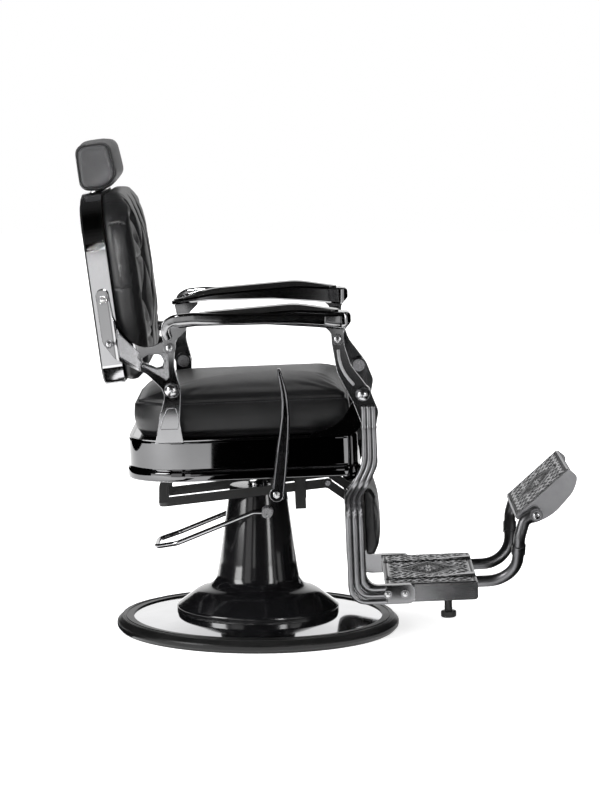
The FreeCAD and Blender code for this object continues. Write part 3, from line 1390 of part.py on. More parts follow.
def recline_lever():
    widths = [
        ("-10", "2", "1", "1", "0"), ("40", "9", "0.98", "1", "0"), ("92", "16", "0.9", "1", "0"),
        ("135", "22", "0.8", "1.06", "2"), ("172", "26", "0.68", "1.2", "4"),
        ("200", "26.5", "0.58", "1.4", "7"),
        ("222", "25", "0.5", "1.6", "9"), ("242", "22", "0.43", "1.8", "11"),
        ("260", "18.5", "0.34", "1.7", "13"),
        ("275", "16", "0.2", "1.2", "15"),
    ]
    slices = []
    for i, (rise, lead, wide, thick, out) in enumerate(widths):
        x = "lever_x+" + lead
        y = "-" + LEVER_Y + "-" + out
        half = "%s*lever_wide/2" % wide
        deep = "%s*lever_thick/2" % thick
        corner = "0.7*min(%s;%s)" % (half, deep)
        height = "lever_z+%s*(lever_top-lever_z)/275" % rise
        slices.append(outline("lever_slice_%d" % i, "XY", [
            (x + "-" + half, y + "-" + deep, corner), (x + "+" + half, y + "-" + deep, corner),
            (x + "+" + half, y + "+" + deep, corner), (x + "-" + half, y + "+" + deep, corner),
        ], offset=height))
    blade = loft("lever_blade", slices)
    boss = rod("lever_boss", "Y", "lever_wide/2+1", "lever_thick", "lever_x",
               "-" + LEVER_Y + "-lever_thick/2",
            "lever_z")
    socket = rod("lever_socket", "Y", "lever_shaft_r", "60", "lever_x", "-" + LEVER_Y + "-lever_thick/2+4",
            "lever_z")
    node(cut("recline_lever", fuse("lever_body", [blade, boss]), socket), "recline_lever", "seat")
    start = "-" + LEVER_Y + "-lever_thick/2+4"
    shaft = rod("lever_rod", "Y", "lever_shaft_r", LEVER_Y + "+lever_thick/2-4-hoop_half+18", "lever_x",
            start, "lever_z")
    cam = rod("lever_cam", "Y", "lever_shaft_r+2", "14", "lever_x", "-hoop_half-2", "lever_z")
    node(fuse("lever_shaft", [shaft, cam]), "lever_shaft", "seat")
    hangers = []
    for i, y in enumerate(("-tray_half+8", "-hoop_half-36")):
        plate_block = block("hanger_block_%d" % i, ("30", "12", "16-lever_z"), "lever_x-15", y,
                "lever_z-16")
        bore = rod("hanger_bore_%d" % i, "Y", "lever_shaft_r+run", "40", "lever_x", y + "-10", "lever_z")
        hangers.append(cut("hanger_%d" % i, plate_block, bore))
    node(group("lever_hangers", hangers), "lever_hangers", "seat")


# Build every sub-part, check it and write it

def build():
    base_plate()
    base_ring()
    base_cover()
    column_cover()
    column_cap()
    pump_cylinder()
    pump_bolts()
    pump_block()
    pump_lever()
    piston()
    seat_mount()
    seat_tray()
    seat_board()
    seat_skirt()
    seat_cushion()
    rear_post()
    front_lug()
    pivot_pins()
    back_rim()
    back_shell()
    back_board()
    rest_sockets()
    back_cushion()
    back_bracket()
    bracket_bolts()
    arm_pin_set("arm_rear_pin", "arm_rear_pins", ARM_PIN_X, ARM_PIN_Z, "back")
    headrest()
    arm_frame()
    arm_pad()
    leg()
    arm_pin_set("arm_front_pin", "arm_front_pins", "arm_front_x", "arm_front_z", "seat")
    leg_crossbar()
    calf_rest()
    footplate()
    leg_bolts()
    clamp_knob()
    toe_arm()
    toe_rest()
    lock_hoop()
    hoop_guides()
    recline_lever()


build()
doc.recompute()
faults = [item.Name for item in doc.Objects if "Invalid" in item.State or "Error" in item.State]
if faults:
    raise RuntimeError("not made: " + ", ".join(faults))
os.makedirs("parts", exist_ok=True)
unsound = [label for label, item in NODES.items()
           if item.Shape.isNull() or not item.Shape.isValid() or not item.Shape.Solids]
if unsound:
    raise RuntimeError("not sound: " + ", ".join(unsound))
for label, item in NODES.items():
    item.Shape.exportStep("parts/%s.step" % label)
print("%d sub-parts" % len(NODES))
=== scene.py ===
import json
import math

import bmesh
import bpy
import numpy as np
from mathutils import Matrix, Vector
from mathutils.bvhtree import BVHTree

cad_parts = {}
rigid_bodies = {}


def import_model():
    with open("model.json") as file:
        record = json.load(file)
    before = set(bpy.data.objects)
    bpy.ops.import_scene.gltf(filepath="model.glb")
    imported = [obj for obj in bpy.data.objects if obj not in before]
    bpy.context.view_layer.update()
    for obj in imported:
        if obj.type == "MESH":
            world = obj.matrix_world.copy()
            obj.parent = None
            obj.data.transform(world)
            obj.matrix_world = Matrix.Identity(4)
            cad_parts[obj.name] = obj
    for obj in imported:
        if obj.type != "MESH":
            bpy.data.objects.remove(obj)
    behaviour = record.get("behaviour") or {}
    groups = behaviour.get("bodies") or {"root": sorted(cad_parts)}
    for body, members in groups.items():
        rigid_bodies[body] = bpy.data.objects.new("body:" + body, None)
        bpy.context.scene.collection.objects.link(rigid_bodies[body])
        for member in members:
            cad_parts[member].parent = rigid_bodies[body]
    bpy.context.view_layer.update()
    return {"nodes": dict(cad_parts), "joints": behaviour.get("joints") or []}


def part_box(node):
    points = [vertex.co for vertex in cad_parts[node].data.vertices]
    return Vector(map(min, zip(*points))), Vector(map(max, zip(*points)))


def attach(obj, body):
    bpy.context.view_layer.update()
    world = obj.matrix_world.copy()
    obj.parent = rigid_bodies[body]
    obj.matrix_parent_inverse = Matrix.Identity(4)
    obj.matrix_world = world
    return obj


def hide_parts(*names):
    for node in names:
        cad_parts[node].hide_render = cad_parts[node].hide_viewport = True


bl_info = {
    "name": "Barber Chair Dresser",
    "version": (1, 0, 0),
    "blender": (4, 5, 0),
    "location": "View3D > Sidebar > Barber Chair",
    "description": "Upholstery, castings and finishes for a reclining barber chair",
    "category": "Object",
}

for leftover in list(bpy.data.objects):
    bpy.data.objects.remove(leftover)

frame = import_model()
NODES = frame["nodes"]
JOINTS = {joint["name"]: joint for joint in frame["joints"]}

# Frames of the tilted seat and of the leaning back; their points are in millimetres, the scene is in metres
MM = 0.001
SEAT_TILT = math.radians(2.3)
BACK_TILT = math.radians(7.7)
BACK_PIN = Vector(JOINTS["back_recline"]["pos_m"])
LEG_PIN = Vector(JOINTS["leg_swing"]["pos_m"])
LEG_PIN_IN_SEAT = (237.0, 180.0)
SIDES = (("right", -1), ("left", 1))
DOWN = Vector((0, 0, -1))
NEAR_SIDE = Vector((0, -1, 0))


def turned(x, z, tilt):
    """A point in a tilted frame, as an offset in the chair's own axes."""
    return x * math.cos(tilt) - z * math.sin(tilt), x * math.sin(tilt) + z * math.cos(tilt)


def in_seat(x, y, z):
    """A point given in the seat's tilted frame."""
    dx, dz = turned(x - LEG_PIN_IN_SEAT[0], z - LEG_PIN_IN_SEAT[1], SEAT_TILT)
    return Vector((LEG_PIN.x + dx * MM, y * MM, LEG_PIN.z + dz * MM))


def in_back(x, y, z):
    """A point given in the back's leaning frame."""
    dx, dz = turned(x, z, BACK_TILT)
    return Vector((BACK_PIN.x + dx * MM, y * MM, BACK_PIN.z + dz * MM))


# One millimetre along the axes of those frames
BACK_FORWARD = in_back(1, 0, 0) - in_back(0, 0, 0)
BACK_UP = in_back(0, 0, 1) - in_back(0, 0, 0)
SEAT_UP = in_seat(0, 0, 1) - in_seat(0, 0, 0)


# Sizes and colours that a user would change

def colour_setting(name, description, default):
    return bpy.props.FloatVectorProperty(
        name=name, description=description, subtype="COLOR", size=3, default=default)


def length_setting(name, description, default):
    return bpy.props.FloatProperty(name=name, description=description, unit="LENGTH", default=default)


def grey(value, blue=0.0):
    return value, value, value + blue


class UpholsterySettings(bpy.types.PropertyGroup):
    """Leather, stitching and tufts."""
    leather: colour_setting("Leather", "Colour of the seat and back leather", grey(0.0065, 0.0005))
    headrest: colour_setting("Headrest leather", "Colour of the headrest's leather", grey(0.037, 0.002))
    thread: colour_setting("Thread", "Colour of the stitching", grey(0.03, 0.002))
    stitch: length_setting("Stitch", "Length of one stitch", 0.0045)
    fold_depth: length_setting("Fold depth", "Depth of the folds between tufts", 0.0055)
    voxel: length_setting("Voxel", "Mesh size of a pad before it is filled", 0.005)


class MetalSettings(bpy.types.PropertyGroup):
    """Plating, paint and castings."""
    black_chrome: colour_setting("Black chrome", "Colour of the dark plating", grey(0.27, 0.005))
    bright_chrome: colour_setting("Chrome", "Colour of the bright plating", grey(0.78, 0.01))
    gunmetal: colour_setting("Gunmetal", "Colour of the satin leg castings", grey(0.16, 0.005))
    pewter: colour_setting("Pewter", "Colour of the ornamented plates", grey(0.42, 0.01))
    gloss_paint: colour_setting("Gloss paint", "Colour of the column's paint", grey(0.004, 0.0005))
    relief: length_setting("Relief", "Height of the cast ornament", 0.0022)


class StageSettings(bpy.types.PropertyGroup):
    """Floor, light and camera."""
    floor: colour_setting("Floor", "Colour of the floor", grey(0.86))
    dome: bpy.props.FloatProperty(
        name="Dome", description="Strength of the soft light all round", default=0.62)
    key: bpy.props.FloatProperty(
        name="Key", description="Power of the large soft light overhead", unit="POWER", default=150.0)
    lens: bpy.props.FloatProperty(
        name="Lens", description="Focal length of the camera, in millimetres", default=133.82)


def upholstery():
    return bpy.context.scene.chair_upholstery


def metals():
    return bpy.context.scene.chair_metals


def staging():
    return bpy.context.scene.chair_stage


# Shader expressions

class Wire:
    """A shader socket. Python operators on it add Math nodes."""

    def __init__(self, graph, socket):
        self.graph = graph
        self.socket = socket

    def math(self, operation, *values):
        return self.graph.add("ShaderNodeMath", {"operation": operation}, dict(enumerate(values)))

    def __add__(self, other):
        return self.math("ADD", self, other)

    def __radd__(self, other):
        return self.math("ADD", other, self)

    def __sub__(self, other):
        return self.math("SUBTRACT", self, other)

    def __rsub__(self, other):
        return self.math("SUBTRACT", other, self)

    def __mul__(self, other):
        return self.math("MULTIPLY", self, other)

    def __rmul__(self, other):
        return self.math("MULTIPLY", other, self)

    def either(self, other):
        return self.math("MAXIMUM", self, other)


class Graph:
    """The nodes of one material or world."""

    def __init__(self, tree):
        self.tree = tree
        self.tree.nodes.clear()

    def add(self, kind, settings=None, inputs=None, output=0):
        """One node: its settings first, then the values or links of its sockets."""
        node = self.tree.nodes.new(kind)
        for name, value in (settings or {}).items():
            if name == "stops":
                self.set_stops(node.color_ramp, value)
            else:
                setattr(node, name, value)
        for name, value in (inputs or {}).items():
            self.feed(node.inputs[name], value)
        return Wire(self, node.outputs[output]) if len(node.outputs) else node

    def feed(self, socket, value):
        if isinstance(value, Wire):
            self.tree.links.new(value.socket, socket)
            return
        if hasattr(socket.default_value, "__len__") and len(socket.default_value) == 4:
            value = tuple(value)[:3] + (1.0,)
        socket.default_value = value

    def set_stops(self, ramp, stops):
        while len(ramp.elements) < len(stops):
            ramp.elements.new(1.0)
        for element, (place, shade) in zip(ramp.elements, stops):
            element.position = place
            element.color = (shade, shade, shade, 1.0)

    def place(self):
        return self.add("ShaderNodeTexCoord", output="Object")

    def noise(self, scale, detail=3.0, rough=0.5, stretch=None):
        where = self.place()
        if stretch:
            where = self.add("ShaderNodeMapping", {}, {"Vector": where, "Scale": stretch})
        inputs = {"Vector": where, "Scale": scale, "Detail": detail, "Roughness": rough}
        return self.add("ShaderNodeTexNoise", {}, inputs, "Fac")

    def cells(self, scale, feature="DISTANCE_TO_EDGE"):
        inputs = {"Vector": self.place(), "Scale": scale}
        return self.add("ShaderNodeTexVoronoi", {"feature": feature}, inputs, "Distance")

    def ramp(self, value, stops):
        return self.add("ShaderNodeValToRGB", {"stops": stops}, {"Fac": value}, "Color")

    def rise(self, value, low, high):
        """0 below the low value, 1 above the high one."""
        return self.ramp(value, [(low, 0.0), (high, 1.0)])

    def blend(self, factor, first, second):
        settings = {"data_type": "RGBA"}
        return self.add("ShaderNodeMix", settings, {"Factor": factor, 6: first, 7: second}, 2)

    def bump(self, height, strength, distance):
        inputs = {"Height": height, "Strength": strength, "Distance": distance}
        return self.add("ShaderNodeBump", {}, inputs, "Normal")


# Finishes, each made once and shared by every piece that has it

FINISHES = {}
WHITE = grey(1.0)


def finish_named(name, build):
    if name not in FINISHES:
        material = bpy.data.materials.new(name)
        material.use_nodes = True
        graph = Graph(material.node_tree)
        shader = graph.add("ShaderNodeBsdfPrincipled", {}, build(graph))
        graph.add("ShaderNodeOutputMaterial", {}, {"Surface": shader})
        FINISHES[name] = material
    return FINISHES[name]


def shade(colour, factor):
    return tuple(min(1.0, channel * factor) for channel in colour)


def worn(name, colour, wear, skin, rough, swing, bump, shades=(0.85, 1.25), span=(0.3, 0.8),
         dull_by_skin=False, fixed=None):
    """A finish of two noises: a broad wear that tints it and a fine skin that roughens it."""
    def build(graph):
        broad = graph.noise(*wear)
        fine = graph.noise(*skin)
        tone = graph.rise(broad, *span) if span else broad
        dull = fine if dull_by_skin else broad
        sockets = {
            "Base Color": graph.blend(tone, shade(colour, shades[0]), shade(colour, shades[1])),
            "Roughness": dull * swing + (rough - swing / 2),
            "Normal": graph.bump(fine, *bump),
        }
        sockets.update(fixed or {})
        return sockets
    return finish_named(name, build)


def cast_metal(name, colour, rough=0.3, grain=0.25):
    return worn(name, colour, (16.0, 4.0, 0.55), (420.0, 4.0, 0.65), rough, 0.14, (grain, 0.0004),
                (0.82, 1.22), (0.28, 0.78), fixed={"Metallic": 1.0})


def satin(name, colour, rough=0.45):
    return worn(name, colour, (24.0, 4.0, 0.6), (260.0, 3.0, 0.55), rough, 0.16, (0.12, 0.0004))


def gloss(name, colour, rough, coat, blur=0.03):
    return worn(name, colour, (38.0, 4.0, 0.6), (7.0, 2.0, 0.5), rough, 0.05, (0.04, 0.002),
                (1.0, 1.7), (0.35, 0.85), fixed={"Coat Weight": coat, "Coat Roughness": blur})


def rubber():
    return worn("edge rubber", grey(0.004), (14.0, 4.0, 0.6), (700.0, 3.0, 0.6), 0.33, 0.14, (0.15, 0.0004),
                (1.0, 2.25), fixed={"Specular IOR Level": 0.35})


def turned_steel(name, colour):
    along_rings = (1.0, 0.02, 1.0)
    return worn(name, colour, (30.0, 3.0, 0.5), (900.0, 2.0, 0.5, along_rings), 0.27, 0.14, (0.1, 0.0003),
                (0.85, 1.15), None, True, {"Metallic": 1.0})


def bright_bolt_steel():
    return turned_steel("bright bolts", grey(0.55, 0.01))


def plywood():
    def build(graph):
        figure = graph.noise(22.0, 6.0, 0.6, (0.18, 1.0, 1.0))
        pores = graph.noise(420.0, 3.0, 0.6, (0.1, 1.0, 1.0))
        return {
            "Base Color": graph.blend(figure, (0.010, 0.009, 0.008), (0.022, 0.020, 0.018)),
            "Roughness": pores * 0.2 + 0.5,
            "Normal": graph.bump(pores, 0.2, 0.0004),
        }
    return finish_named("black stained plywood", build)


def thread_finish():
    twist = (1500.0, 2.0, 0.5)
    return worn("stitching thread", upholstery().thread, twist, twist, 0.6, 0.2, (0.2, 0.0003),
                (0.7, 1.4), None)


def leather(name, colour, rough=0.38):
    def build(graph):
        pores = graph.cells(620.0)
        creases = graph.noise(90.0, 5.0, 0.62)
        rub = graph.noise(7.0, 3.0, 0.5)
        height = graph.rise(pores, 0.0, 0.28) * 0.65 + creases * 0.7
        tone = graph.rise(rub, 0.3, 0.75)
        return {
            "Base Color": graph.blend(tone, shade(colour, 0.8), shade(colour, 1.35)),
            "Roughness": rub * 0.14 + (rough - 0.07),
            "Normal": graph.bump(height, 0.22, 0.0005),
        }
    return finish_named(name, build)


def plated(name, colour, rough=0.07, smear=0.05, flat=False):
    """Polished plating; a flat one mirrors by the true plane of each face."""
    def build(graph):
        haze = graph.noise(11.0, 4.0, 0.55)
        wipe = graph.noise(60.0, 3.0, 0.6, (1.0, 0.12, 1.0))
        tone = graph.rise(haze, 0.25, 0.8)
        sockets = {
            "Base Color": graph.blend(tone, shade(colour, 0.93), shade(colour, 1.06)),
            "Metallic": 1.0,
            "Roughness": haze * smear + wipe * (0.4 * smear) + (rough - 0.5 * smear),
        }
        if flat:
            sockets["Normal"] = graph.add("ShaderNodeNewGeometry", output="True Normal")
        return sockets
    return finish_named(name, build)


def stippled(name, colour):
    def build(graph):
        dots = graph.cells(520.0, "F1")
        drift = graph.noise(30.0, 3.0, 0.5)
        peaks = graph.ramp(dots, [(0.1, 1.0), (0.55, 0.0)])
        return {
            "Base Color": graph.blend(peaks, shade(colour, 0.62), shade(colour, 1.35)),
            "Metallic": 0.5,
            "Roughness": drift * 0.12 + 0.36,
            "Normal": graph.bump(peaks, 0.6, 0.0006),
        }
    return finish_named(name, build)


def ornament_metal(name, colour):
    """Pewter whose hollows stay dark, read from the height kept on the mesh."""
    def build(graph):
        height = graph.add("ShaderNodeAttribute", {"attribute_name": "relief"}, {}, "Fac")
        rub = graph.noise(45.0, 4.0, 0.6)
        skin = graph.noise(500.0, 3.0, 0.6)
        raised = graph.rise(height + (rub - 0.5) * 0.25, 0.22, 0.62)
        return {
            "Base Color": graph.blend(raised, shade(colour, 0.04), shade(colour, 0.9)),
            "Metallic": 1.0,
            "Roughness": 0.52 - raised * 0.2 + (rub - 0.5) * 0.1,
            "Normal": graph.bump(skin, 0.18, 0.0003),
        }
    return finish_named(name, build)


# Mesh helpers

def mesh_piece(name, points, faces, smooth=True):
    mesh = bpy.data.meshes.new(name)
    mesh.from_pydata([tuple(point) for point in points], [], faces)
    mesh.validate()
    piece = bpy.data.objects.new(name, mesh)
    bpy.context.scene.collection.objects.link(piece)
    if smooth:
        mesh.polygons.foreach_set("use_smooth", [True] * len(mesh.polygons))
    return piece


def clean_normals(piece):
    shape = bmesh.new()
    shape.from_mesh(piece.data)
    bmesh.ops.recalc_face_normals(shape, faces=shape.faces)
    shape.to_mesh(piece.data)
    shape.free()
    piece.data.update()


def joined(name, parts):
    """One smooth piece from several sets of points and faces."""
    points = []
    faces = []
    for some_points, some_faces in parts:
        base = len(points)
        points += list(some_points)
        faces += [tuple(base + k for k in face) for face in some_faces]
    piece = mesh_piece(name, points, faces)
    clean_normals(piece)
    return piece


def dress(piece, material, body, slot):
    """Give a new piece its finish and the body that it rides on."""
    piece.data.materials.clear()
    piece.data.materials.append(material)
    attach(piece, body)
    return piece


def circle(count):
    """Cosine and sine of even steps around a circle."""
    angles = [2 * math.pi * k / count for k in range(count)]
    return [(math.cos(angle), math.sin(angle)) for angle in angles]


def square_to(axis):
    """A direction at right angles to an axis."""
    helper = Vector((0, 0, 1)) if abs(axis.z) < 0.9 else Vector((1, 0, 0))
    return helper - axis * helper.dot(axis)


def ring_faces(rings, sides, closed=False):
    """Quads between rings of points that follow each other."""
    faces = []
    for i in range(rings if closed else rings - 1):
        first = i * sides
        second = (i + 1) % rings * sides
        for k in range(sides):
            ahead = (k + 1) % sides
            faces.append((first + k, first + ahead, second + ahead, second + k))
    return faces


def tube_data(path, radii, sides=10, closed=False, flat=1.0, up=None, square=1.0):
    """Points and faces of a tube along a path; square under 1 flattens the sides of its section."""
    count = len(path)
    if not hasattr(radii, "__len__"):
        radii = [radii] * count
    section = [[math.copysign(abs(part) ** square, part) for part in pair] for pair in circle(sides)]
    points = []
    normal = None
    for i in range(count):
        ahead = path[(i + 1) % count] if closed or i + 1 < count else path[i]
        behind = path[i - 1] if closed or i > 0 else path[i]
        along = (ahead - behind).normalized()
        if up is not None:
            normal = up - along * up.dot(along)
        elif normal is None:
            normal = square_to(along)
        else:
            normal = normal - along * normal.dot(along)
        normal.normalize()
        side = along.cross(normal)
        points += [path[i] + (normal * (out * flat) + side * over) * radii[i] for out, over in section]
    faces = ring_faces(count, sides, closed)
    if not closed:
        for ring, inner in ((0, 1), (count - 1, count - 2)):
            tip = len(points)
            points.append(path[ring] + (path[ring] - path[inner]).normalized() * radii[ring] * 0.5)
            faces += [(ring * sides + k, ring * sides + (k + 1) % sides, tip) for k in range(sides)]
    return points, faces


def lathed(profile, centre, axis, sides=20):
    """A turned form: profile of (radius, height) about an axis."""
    axis = Vector(axis).normalized()
    first = square_to(axis).normalized()
    second = axis.cross(first)
    centre = Vector(centre)
    points = [centre + axis * height + (first * c + second * s) * radius
              for radius, height in profile for c, s in circle(sides)]
    faces = ring_faces(len(profile), sides)
    faces.append(tuple(range(sides))[::-1])
    faces.append(tuple((len(profile) - 1) * sides + k for k in range(sides)))
    return points, faces


def mirrored_data(points, faces):
    return [Vector((p[0], -p[1], p[2])) for p in points], [tuple(reversed(face)) for face in faces]


def smooth_path(points, rounds, steps=7):
    """A polyline whose inner corners are rounded by the given distances."""
    points = [Vector(point) for point in points]
    path = [points[0]]
    for i in range(1, len(points) - 1):
        corner = points[i]
        before = points[i - 1] - corner
        after = points[i + 1] - corner
        reach = min(rounds[i - 1], 0.48 * before.length, 0.48 * after.length)
        start = corner + before.normalized() * reach
        end = corner + after.normalized() * reach
        for k in range(steps + 1):
            t = k / steps
            path.append(start * (1 - t) ** 2 + corner * (2 * t * (1 - t)) + end * t ** 2)
    path.append(points[-1])
    return path


def even_points(path, step):
    """Points along a path at an even spacing."""
    line = [Vector(p) for p in path]
    out = [line[0]]
    carry = 0.0
    for a, b in zip(line[:-1], line[1:]):
        length = (b - a).length
        at = step - carry
        while at <= length:
            out.append(a.lerp(b, at / length))
            at += step
        carry = length - (at - step)
    return out


def pan_loop(rear, front, half, rear_corner, front_corner, count=14):
    """A closed plan with round corners, of one radius at the rear and another in front."""
    loop = []
    corners = ((front, half, front_corner, 0), (rear, half, rear_corner, 90),
               (rear, -half, rear_corner, 180), (front, -half, front_corner, 270))
    for x, y, corner, start in corners:
        cx = x - math.copysign(corner, x)
        cy = y - math.copysign(corner, y)
        for k in range(count + 1):
            angle = math.radians(start + 90 * k / count)
            loop.append((cx + corner * math.cos(angle), cy + corner * math.sin(angle)))
    loop.append(loop[0])
    return loop


def inside(polygon, x, z):
    """Whether a point lies in a polygon."""
    result = False
    for (ax, az), (bx, bz) in zip(polygon, polygon[1:] + polygon[:1]):
        if (az > z) != (bz > z) and x < (bx - ax) * (z - az) / (bz - az) + ax:
            result = not result
    return result


# Readings from the solids

def tree_of(piece):
    """A search tree over a piece's skin."""
    points = [vertex.co.copy() for vertex in piece.data.vertices]
    faces = [tuple(polygon.vertices) for polygon in piece.data.polygons]
    return BVHTree.FromPolygons(points, faces)


def struck(tree, start, way):
    """Where a ray meets a skin, or None."""
    return tree.ray_cast(start, way)[0]


def on_face(tree, point, side):
    """The spot on a casting's outer face that a point beside it looks at."""
    return struck(tree, Vector((point.x, side * 0.6, point.z)), Vector((0, -side, 0)))


def welded(name):
    """A copy of a node's mesh whose faces share their points."""
    shape = bmesh.new()
    shape.from_mesh(NODES[name].data)
    bmesh.ops.remove_doubles(shape, verts=shape.verts, dist=1e-5)
    return shape


EDGE_ANGLE = math.radians(38)
EDGE_FACING = 0.7
EDGE_INSET = 0.0005


def sharp_edges(shape, facing):
    """Neighbours along the outer edges of a casting's face, and the way that each point leans out."""
    links = {}
    lean = {}
    for edge in shape.edges:
        if len(edge.link_faces) != 2 or not edge.is_convex:
            continue
        first, second = (face.normal for face in edge.link_faces)
        if first.angle(second, 0.0) < EDGE_ANGLE or max(first.dot(facing), second.dot(facing)) < EDGE_FACING:
            continue
        a, b = edge.verts
        for near, far in ((a, b), (b, a)):
            links.setdefault(near.index, []).append(far.index)
            lean[near.index] = lean.get(near.index, Vector()) + first + second
    return links, lean


def sharp_paths(name, facing):
    """Outer edges of a casting's face, as paths set in a little from the corner."""
    shape = welded(name)
    links, lean = sharp_edges(shape, facing)
    shape.verts.ensure_lookup_table()
    spots = {i: shape.verts[i].co - lean[i].normalized() * EDGE_INSET for i in sorted(links)}
    shape.free()
    paths = []
    used = set()
    for start in sorted(links, key=lambda i: (len(links[i]) == 2, i)):
        for second in links[start]:
            if (start, second) in used:
                continue
            run = [start, second]
            used.update(((start, second), (second, start)))
            while len(links[run[-1]]) == 2 and run[-1] != start:
                ahead = [i for i in links[run[-1]] if (run[-1], i) not in used]
                if not ahead:
                    break
                used.update(((run[-1], ahead[0]), (ahead[0], run[-1])))
                run.append(ahead[0])
            paths.append([spots[i] for i in run])
    return paths


def islands(name):
    """Boxes of the separate solids in a node."""
    shape = welded(name)
    left = set(shape.verts)
    boxes = []
    while left:
        front = [left.pop()]
        group = []
        while front:
            vertex = front.pop()
            group.append(vertex.co.copy())
            for edge in vertex.link_edges:
                other = edge.other_vert(vertex)
                if other in left:
                    left.remove(other)
                    front.append(other)
        low = Vector([min(p[k] for p in group) for k in range(3)])
        high = Vector([max(p[k] for p in group) for k in range(3)])
        boxes.append((low, high))
    shape.free()
    return sorted(boxes, key=lambda pair: tuple(pair[0]))


# Padded pieces

LEATHER_SLOT = "seat_leather"
STITCH_RADII = (0.0005, 0.0007, 0.0005)
STITCH_LIFT = 0.0003
PIPING_STEP = 0.004
PIPING_LIFT = 0.0004
PIPING_OVERLAP = 0.003
FILL_FRAMES = 20
HOLD_LEVELS = 10
CLOTH = {
    "quality": 5, "mass": 0.35, "tension_stiffness": 18, "compression_stiffness": 18,
    "bending_stiffness": 2.0, "use_pressure": True, "vertex_group_mass": "held",
}


def shaped(piece, kind, **settings):
    """Run a modifier and keep its result as the piece's mesh."""
    modifier = piece.modifiers.new(kind.lower(), kind)
    for name, value in settings.items():
        setattr(modifier, name, value)
    graph = bpy.context.evaluated_depsgraph_get()
    result = bpy.data.meshes.new_from_object(piece.evaluated_get(graph))
    old = piece.data
    piece.modifiers.clear()
    piece.data = result
    bpy.data.meshes.remove(old)
    result.polygons.foreach_set("use_smooth", [True] * len(result.polygons))


def soften(piece, rounds, amount=0.5):
    """Relax the steps out of a pad's skin."""
    shaped(piece, "SMOOTH", iterations=rounds, factor=amount)


def read_points(mesh, field="co"):
    flat = np.empty(len(mesh.vertices) * 3)
    mesh.vertices.foreach_get(field, flat)
    return flat.reshape(-1, 3)


def set_points(piece, points):
    piece.data.vertices.foreach_set("co", np.asarray(points, float).ravel())
    piece.data.update()


def fill_pad(piece, hold, pressure, reach):
    """Fill a pad with air as cloth; hold gives how firmly each point is kept."""
    start = read_points(piece.data)
    group = piece.vertex_groups.new(name="held")
    firm = hold(start)
    for level in range(1, HOLD_LEVELS + 1):
        chosen = np.nonzero(np.round(firm * HOLD_LEVELS) == level)[0]
        if len(chosen):
            group.add(chosen.tolist(), level / HOLD_LEVELS, "REPLACE")
    cloth = piece.modifiers.new("filling", "CLOTH")
    for name, value in CLOTH.items():
        setattr(cloth.settings, name, value)
    cloth.settings.uniform_pressure_force = pressure
    cloth.settings.effector_weights.gravity = 0.0
    cloth.collision_settings.use_collision = False
    cloth.point_cache.frame_start = 1
    cloth.point_cache.frame_end = FILL_FRAMES
    scene = bpy.context.scene
    for step in range(1, FILL_FRAMES + 1):
        scene.frame_set(step)
    graph = bpy.context.evaluated_depsgraph_get()
    end = read_points(piece.evaluated_get(graph).to_mesh())
    piece.evaluated_get(graph).to_mesh_clear()
    piece.modifiers.clear()
    piece.vertex_groups.clear()
    scene.frame_set(1)
    move = end - start
    far = np.linalg.norm(move, axis=1, keepdims=True)
    limited = reach * np.tanh(far / reach)
    set_points(piece, start + move * (limited / np.maximum(far, 1e-9)))


def soft_pad(node, name, voxel, rounds, hold, air):
    """A pad's solid, meshed evenly, relaxed and filled; air is the pressure and the farthest push."""
    piece = bpy.data.objects.new(name, NODES[node].data.copy())
    bpy.context.scene.collection.objects.link(piece)
    shaped(piece, "REMESH", mode="VOXEL", voxel_size=voxel)
    soften(piece, rounds)
    fill_pad(piece, hold, *air)
    shaped(piece, "SUBSURF", levels=1, render_levels=1)
    return piece


def upholster(pad, skin, body, node, fill):
    """Give a pad its leather and its body, and hide the solid that it stands for."""
    dress(pad, skin, body, LEATHER_SLOT)
    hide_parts(node)


def press_line(piece, path, depth, width):
    """Press a seam into a pad along a path."""
    points = read_points(piece.data)
    normals = read_points(piece.data, "normal")
    line = np.array([tuple(p) for p in path])
    starts = line[:-1]
    spans = line[1:] - starts
    lengths = np.maximum((spans ** 2).sum(1), 1e-12)
    low = line.min(0) - 3 * width
    high = line.max(0) + 3 * width
    near = np.nonzero(((points > low) & (points < high)).all(1))[0]
    gap = np.full(len(near), 1.0)
    for start, span, length in zip(starts, spans, lengths):
        offset = points[near] - start
        share = np.clip(offset @ span / length, 0, 1)
        gap = np.minimum(gap, np.linalg.norm(offset - share[:, None] * span, axis=1))
    sink = depth * np.exp(-(gap / width) ** 2)
    points[near] -= normals[near] * sink[:, None]
    set_points(piece, points)


def laid_on(piece, path, lift=0.0):
    """Move a path onto a pad's skin, lifted a little off it."""
    tree = tree_of(piece)
    laid = []
    for point in path:
        spot, normal, index, gap = tree.find_nearest(Vector(point))
        laid.append(spot + normal * lift)
    return laid


def stitches(name, pad, path, drop, body):
    """A row of thread stitches below a seam."""
    lower = [point + DOWN * drop for point in path]
    spots = laid_on(pad, even_points(lower, upholstery().stitch * 0.5), STITCH_LIFT)
    parts = []
    for i in range(0, len(spots) - 3, 3):
        parts.append(tube_data(spots[i:i + 3], STITCH_RADII, 6))
    dress(joined(name, parts), thread_finish(), body, LEATHER_SLOT)


def piping(name, pad, path, radius, material, body):
    """Piping that lies around the edge of a panel."""
    laid = laid_on(pad, even_points(path, PIPING_STEP), PIPING_LIFT)
    if (laid[0] - laid[-1]).length < PIPING_OVERLAP:
        laid = laid[:-1]
    dress(joined(name, [tube_data(laid, radius, 8, True)]), material, body, LEATHER_SLOT)


# Operators, one for each group of pieces

